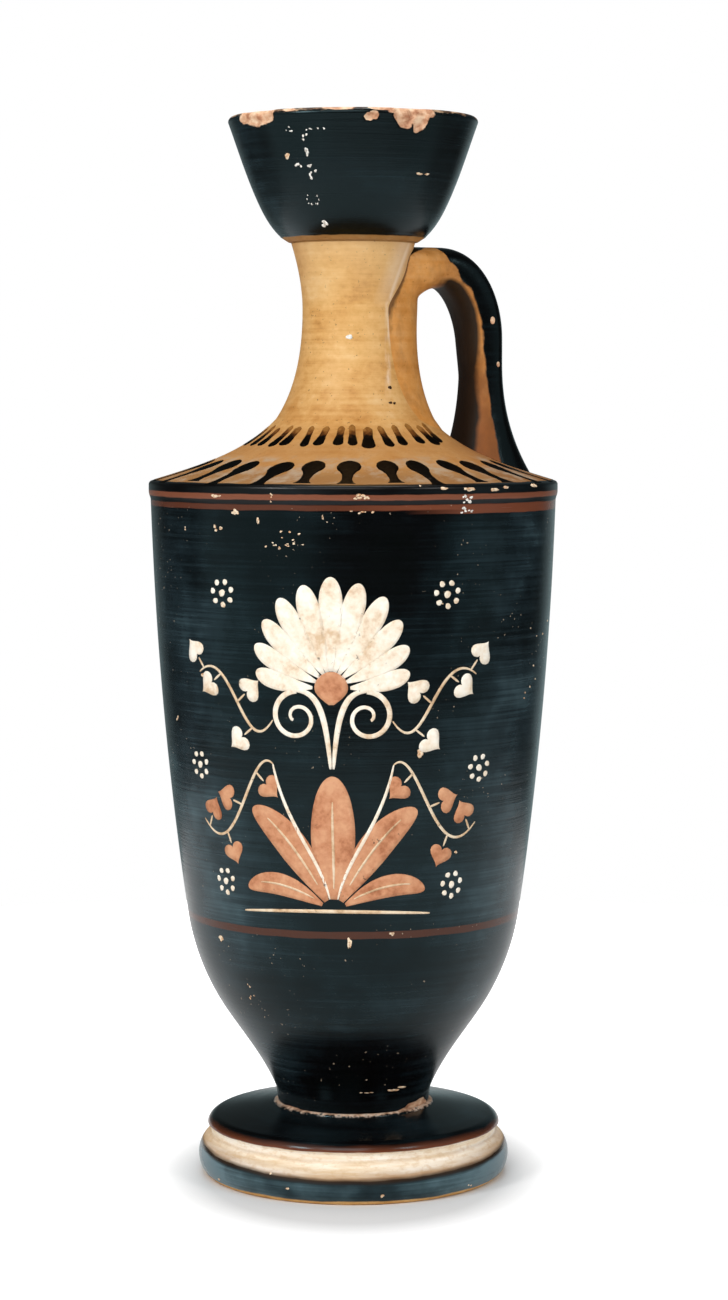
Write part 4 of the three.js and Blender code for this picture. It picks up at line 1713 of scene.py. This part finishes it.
def added_clay(name, light, middle, dark):
    """Matt clay slip laid thick: a chalky grain and thin places that let the black through."""
    material, tree, shader, place = new_surface(name, 1.45, 0.25)
    grain = noise_at(tree, place, (1.6, 1.6, 1.6), 4.0, 0.6)
    patches = noise_at(tree, place, (7, 7, 7), 3.0, 0.5)
    tone = grain * 0.4 + patches * 0.6
    finish = add(tree, "ShaderNodeValToRGB", (tone,), stops=((0.34, dark), (0.46, middle), (0.6, light)))
    worn = add(
        tree,
        "ShaderNodeMapRange",
        {0: noise_at(tree, place, (2.4, 2.4, 2.4), 4.0, 0.7), 1: 0.66, 2: 0.72},
    )
    finish = layered(tree, finish, (worn * 0.75, "#3A322B"))
    coat(tree, shader, finish, 0.82, grain, 0.12)
    return material


wall = wall_tree()
cream_clay = added_clay("cream_clay_slip", "#FFF8EA", "#F6E6CF", "#DDBF9C")
pink_clay = added_clay("pink_clay_slip", "#D9A27C", "#C98B66", "#A96A48")
line_clay = added_clay("thin_clay_line", "#EFDCC0", "#DDBD98", "#A98460")
for name, marks, finish, film in (
    ("palmette_marks", cream, cream_clay, clay_film),
    ("lotus_marks", pink, pink_clay, clay_film),
    ("fine_lines", fine, line_clay, line_film),
    ("petal_ribs", ribs, line_clay, clay_film + line_film),
):
    painted = from_nodes(
        name,
        marks.mesh(name + "_flat"),
        wall,
        Middle=math.radians(band_middle_degrees),
        Radius=band_radius * MM,
        Film=film * MM,
        Sink=picture_sink * MM,
        Surface=body,
        Finish=finish,
    )
    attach(painted, "root")


# Wear: places where the gloss has flaked off and pale clay shows, and a splash of lime from the ground.
# A flake is thinner than a fingernail. Each place lists degrees round from the handle, height, how far
# its flakes scatter along and up, their count, and the length and height of one.
flake_film = 0.06
flake_least = 0.6
flake_most = 1.1
flake_sides = 14
flake_raggedness = 0.2
bowl_flake_radius = 31.0
stem_flake_radius = 23.5
bowl_flakes = (
    (-149, 287.5, 0, 0, 1, 1.5, 1.6),
    (-75.5, 282.8, 0.4, 0.1, 2, 2.0, 0.6),
    (-70.5, 282.9, 0.3, 0.1, 2, 1.5, 0.5),
)
bowl_lime = (
    (-134, 269.6, 0.7, 0.7, 6, 1.5, 1.1),
    (-137.5, 288.6, 0.6, 1.9, 5, 0.9, 1.1),
    (-137.5, 292.5, 0.7, 1.0, 4, 0.6, 0.6),
    (-140.5, 284.9, 2.4, 0.4, 6, 1.0, 0.75),
    (-136, 282.6, 1.1, 1.3, 5, 0.7, 0.7),
    (-139, 277.0, 2.8, 2.8, 8, 0.5, 0.5),
    (-137, 294.6, 5.4, 0.7, 9, 0.6, 0.42),
)
neck_lime = ((-118, 238.5, 0, 0, 1, 1.9, 1.9),)
neck_specks = ((-78, 224.5, 0, 0, 1, 1.0, 1.2), (-80.4, 220.3, 0.8, 0.4, 2, 0.9, 0.9))
edge_flakes = (
    (-88.7, 197.5, 1.0, 0.1, 3, 2.2, 0.8),
    (-81.5, 197.2, 2.2, 0.1, 4, 2.6, 0.8),
    (-73, 196.9, 1.4, 0.1, 2, 2.4, 0.7),
    (-68, 197.5, 0.8, 0.1, 2, 1.9, 0.7),
    (-54.5, 197.6, 0.8, 0.1, 2, 2.6, 0.9),
    (-95.7, 198.2, 0.3, 0.1, 1, 0.9, 0.6),
    (-153, 195.2, 2.6, 0.2, 4, 1.6, 0.7),
    (-136, 195.3, 0.3, 1.5, 4, 0.7, 0.6),
    (-111, 195.4, 2.4, 0.5, 7, 1.1, 0.7),
    (40, 197.4, 3.0, 0.1, 4, 2.4, 0.8),
    (118, 197.3, 2.0, 0.2, 4, 2.2, 0.8),
)
wall_flakes = (
    (-111, 191.2, 3.6, 0.4, 5, 0.8, 0.5),
    (-154, 186.6, 1.5, 1.0, 4, 1.1, 1.2),
    (-146.5, 191.0, 2.0, 0.6, 3, 1.2, 1.3),
    (-140, 189.0, 0.5, 0.5, 2, 0.7, 1.5),
    (-133, 184.0, 5.0, 2.2, 10, 0.7, 0.5),
    (-122, 190.0, 0.2, 0.3, 2, 0.6, 1.5),
    (-129, 181.8, 5.0, 1.0, 7, 0.6, 0.4),
    (-167, 186.0, 0.5, 0.4, 2, 0.6, 0.5),
    (-162, 146.0, 0.4, 0.3, 2, 1.5, 1.2),
    (-179, 133.0, 0.6, 0.6, 3, 0.7, 0.6),
    (-94, 126.0, 0, 0, 1, 1.9, 1.9),
    (-80, 98.0, 0, 0, 1, 1.1, 1.1),
    (-88.6, 166.5, 0, 0, 1, 0.8, 0.6),
    (-137, 90.2, 1.5, 0.7, 3, 2.0, 1.6),
    (-115, 74.0, 0.3, 0.5, 2, 1.1, 2.6),
    (-165.5, 72.0, 0.4, 0.4, 2, 2.0, 1.4),
    (-101, 76.0, 0.6, 0.3, 3, 1.0, 0.8),
    (-157, 57.0, 1.5, 3.0, 6, 0.6, 0.6),
    (-45, 150.0, 9.0, 12.0, 9, 0.7, 0.5),
    (30, 120.0, 12.0, 30.0, 14, 0.8, 0.7),
    (110, 160.0, 14.0, 22.0, 12, 0.9, 0.7),
)
foot_flakes = (
    (-145, 7.9, 0, 0, 1, 1.2, 0.8),
    (-138, 4.3, 0, 0, 1, 0.9, 0.7),
    (-103.4, 2.9, 0, 0, 1, 1.0, 0.8),
    (-173, 2.2, 0.8, 0.3, 2, 1.0, 0.6),
    (-66, 2.4, 1.0, 0.3, 2, 0.9, 0.6),
)
stem_flakes = (
    (-85, 27.5, 1.4, 0.15, 5, 2.2, 0.55),
    (-78, 28.1, 1.2, 0.15, 4, 2.0, 0.5),
    (-104, 27.3, 2.0, 0.1, 3, 1.6, 0.3),
)
lime_places = ((-82, 194.6, 1.7, 1.0, 8, 0.9, 0.8), (-81.5, 191.8, 1.8, 0.9, 8, 1.0, 0.7))


def scattered(places, radius):
    """Uneven flakes about each place, as flat marks."""
    marks = Marks()
    for degrees, height, along, up, count, long, tall in places:
        middle = math.radians(degrees - band_middle_degrees) * radius
        for _ in range(count):
            centre = (middle + chance.uniform(-along, along), height + chance.uniform(-up, up))
            size = chance.uniform(flake_least, flake_most) / 2
            marks.disc(centre, size * long, 2, flake_sides, tall / long, flake_raggedness)
    return marks


def bare_flake(name, light, dark):
    """Clay bared in a flake's bed: a pale and slightly dusty break."""
    material, tree, shader, place = new_surface(name, 1.45, 0.25)
    grain = noise_at(tree, place, (0.9, 0.9, 0.9), 3.0, 0.6)
    finish = add(tree, "ShaderNodeValToRGB", (grain,), stops=((0.38, dark), (0.6, light)))
    coat(tree, shader, finish, 0.85, grain, 0.05)
    return material


flaked_clay = bare_flake("flaked_clay", "#F3DFC2", "#CF9E74")
lime = bare_flake("ground_lime", "#FFFDF6", "#DDD6CB")
iron_speck = bare_flake("iron_speck", "#4A2E1C", "#20130C")
for name, places, surface, radius, finish in (
    ("bowl_flakes", bowl_flakes, mouth, bowl_flake_radius, flaked_clay),
    ("bowl_lime", bowl_lime, mouth, bowl_flake_radius, lime),
    ("neck_lime", neck_lime, neck, neck_waist_radius, lime),
    ("neck_specks", neck_specks, neck, neck_waist_radius, iron_speck),
    ("edge_flakes", edge_flakes, shoulder, edge_radius, flaked_clay),
    ("wall_flakes", wall_flakes, body, band_radius, flaked_clay),
    ("stem_flakes", stem_flakes, body, stem_flake_radius, flaked_clay),
    ("foot_flakes", foot_flakes, foot, roll_radius, flaked_clay),
    ("lime_splash", lime_places[:1], shoulder, edge_radius, lime),
    ("lime_run", lime_places[1:], body, wall_radius, lime),
):
    worn = from_nodes(
        name,
        scattered(places, radius).mesh(name + "_flat"),
        wall,
        Middle=math.radians(band_middle_degrees),
        Radius=radius * MM,
        Film=flake_film * MM,
        Sink=picture_sink * MM,
        Surface=surface,
        Finish=finish,
    )
    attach(worn, "root")


# The studio: a white floor, a dim room for the gloss to mirror, soft lamps and the photograph's viewpoint.
camera_turn = -24
camera_distance = 908.04
camera_height = 221.52
camera_tilt = 4.5
camera_aside = 3.06
camera_lens = 88.6
camera_film = 36
lamp_aim_height = 0.16
room_light = 0.4
room_dim = 0.03
wall_start = 0.73
wall_full = 0.95
wall_white = 0.55
high_wall = 0.2
side_white = 0.6
table_white = 0.35
floor_mirrored = 0.22
paper_radius = 0.5
paper_sides = 96


def make_camera():
    """A camera that looks down a little on the jar, with the handle to the right and turned away."""
    data = bpy.data.cameras.new("camera")
    data.lens, data.sensor_width, data.sensor_fit = camera_lens, camera_film, "AUTO"
    data.clip_start, data.clip_end = 0.05, 20
    camera = bpy.data.objects.new("camera", data)
    bpy.context.scene.collection.objects.link(camera)
    turn = math.radians(camera_turn)
    back = Vector((math.sin(turn), -math.cos(turn), 0))
    right = Vector((math.cos(turn), math.sin(turn), 0))
    camera.location = (back * camera_distance + right * camera_aside) * MM
    camera.location.z = camera_height * MM
    camera.rotation_euler = (math.radians(90 - camera_tilt), 0, turn)
    bpy.context.scene.camera = camera


def make_world():
    """A dim room with a low white wall behind the jar and pale sides, which the gloss mirrors."""
    world = bpy.data.worlds.new("studio")
    world.use_nodes = True
    tree = world.node_tree
    tree.nodes.clear()
    path = add(tree, "ShaderNodeLightPath")
    way = add(tree, "ShaderNodeTexCoord")["Generated"]
    up = add(tree, "ShaderNodeSeparateXYZ", {0: way})[2]
    behind = towards(tree, way, camera_turn + 90)
    aside = towards(tree, way, camera_turn)
    low_wall = add(tree, "ShaderNodeMapRange", {0: up, 1: 0.14, 2: 0.03, 4: 1 - high_wall})
    wall_seen = add(tree, "ShaderNodeMapRange", {0: behind, 1: wall_start, 2: wall_full, 4: wall_white})
    wall_seen = wall_seen * (low_wall + high_wall)
    wall_seen = wall_seen * (1.0 - add(tree, "ShaderNodeMapRange", {0: aside, 1: 0.0, 2: -0.12, 4: 0.5}))
    sides = add(
        tree,
        "ShaderNodeMath",
        (
            add(tree, "ShaderNodeMapRange", (aside, -0.2, -0.5)),
            add(tree, "ShaderNodeMapRange", {0: aside, 1: 0.7, 2: 0.9, 4: 0.55}),
        ),
        operation="MAXIMUM",
    )
    sides = sides * add(tree, "ShaderNodeMapRange", {0: behind, 1: 0.15, 2: -0.05, 4: side_white})
    mirrored = (
        wall_seen
        + sides
        + add(tree, "ShaderNodeMapRange", {0: up, 1: -0.2, 2: -0.45, 4: table_white})
    )
    mirrored = mirrored + room_dim
    strength = path["Is Glossy Ray"] * (mirrored - room_light) + room_light
    direct = (path["Is Camera Ray"], path["Is Transmission Ray"])
    seen = add(tree, "ShaderNodeMath", direct, operation="MAXIMUM")
    hue = layered(tree, colour("#FFFFFF"), (path["Is Glossy Ray"], "#CFE9EC"))
    room = add(tree, "ShaderNodeBackground", {"Color": hue, "Strength": strength})
    white = add(tree, "ShaderNodeBackground", {"Color": colour("#FFFFFF"), "Strength": 1.0})
    mix = add(tree, "ShaderNodeMixShader", {0: seen, 1: room, 2: white})
    add(tree, "ShaderNodeOutputWorld", {"Surface": mix})
    bpy.context.scene.world = world


def make_floor():
    """A white floor that keeps the jar's soft shadow, deepened by a glow that is left out round the foot, and
    runs out into plain white.
    """
    turns = [2 * math.pi * i / paper_sides for i in range(paper_sides)]
    rim = [(paper_radius * math.cos(a), paper_radius * math.sin(a), 0) for a in turns]
    mesh = bpy.data.meshes.new("floor")
    mesh.from_pydata(rim, [], [tuple(range(paper_sides))])
    floor = bpy.data.objects.new("floor", mesh)
    bpy.context.scene.collection.objects.link(floor)
    material, tree, shader, place = new_surface("studio_paper", 1.45, 0.0)
    tree.nodes.remove(shader)
    path = add(tree, "ShaderNodeLightPath")
    direct = (path["Is Camera Ray"], path["Is Transmission Ray"])
    seen = add(tree, "ShaderNodeMath", direct, operation="MAXIMUM")
    deep = towards(tree, place, camera_turn + 90) * 0.7
    away = add(tree, "ShaderNodeCombineXYZ", {0: towards(tree, place, camera_turn), 1: deep})
    away = add(tree, "ShaderNodeVectorMath", {0: away}, operation="LENGTH")["Value"]
    # Partly painted shadow: the floor's glow is left out close to the foot, over an oval that reaches further
    # towards the camera.
    near = seen * add(tree, "ShaderNodeMapRange", {0: away, 1: 43.0, 2: 60.0, 4: 0.55})
    mirrored = path["Is Glossy Ray"] * floor_mirrored
    far = add(tree, "ShaderNodeMapRange", {0: away, 1: 52.0, 2: 320.0, 4: 0.9})
    glow = near + add(tree, "ShaderNodeMath", (seen, mirrored), operation="MAXIMUM") * far
    paper = add(tree, "ShaderNodeBsdfDiffuse", {"Color": colour("#E6E6E6")})
    lit = add(tree, "ShaderNodeEmission", {"Color": colour("#FFFFFF"), "Strength": glow})
    both = add(tree, "ShaderNodeAddShader", {0: paper, 1: lit})
    output = next(node for node in tree.nodes if node.bl_idname == "ShaderNodeOutputMaterial")
    feed(tree, output, {"Surface": both})
    mesh.materials.append(material)


def make_lamp(name, turn, height, distance, width, watts):
    """A soft box that faces the jar."""
    data = bpy.data.lights.new(name, "AREA")
    data.shape, data.size, data.energy = "SQUARE", width, watts
    lamp = bpy.data.objects.new(name, data)
    bpy.context.scene.collection.objects.link(lamp)
    angle = math.radians(camera_turn + turn)
    lamp.location = (math.sin(angle) * distance, -math.cos(angle) * distance, height)
    aim = Vector((0, 0, lamp_aim_height)) - lamp.location
    lamp.rotation_euler = aim.to_track_quat("-Z", "Y").to_euler()


make_camera()
make_world()
make_floor()
make_lamp("key", -46, 0.8, 1.2, 0.3, 6.5)
make_lamp("fill", 46, 0.8, 1.3, 0.3, 4.0)
make_lamp("front", -8, 0.9, 1.1, 0.8, 6.0)
make_lamp("overhead", 180, 1.2, 0.12, 0.5, 5.0)
bpy.context.scene.view_settings.view_transform = "Standard"
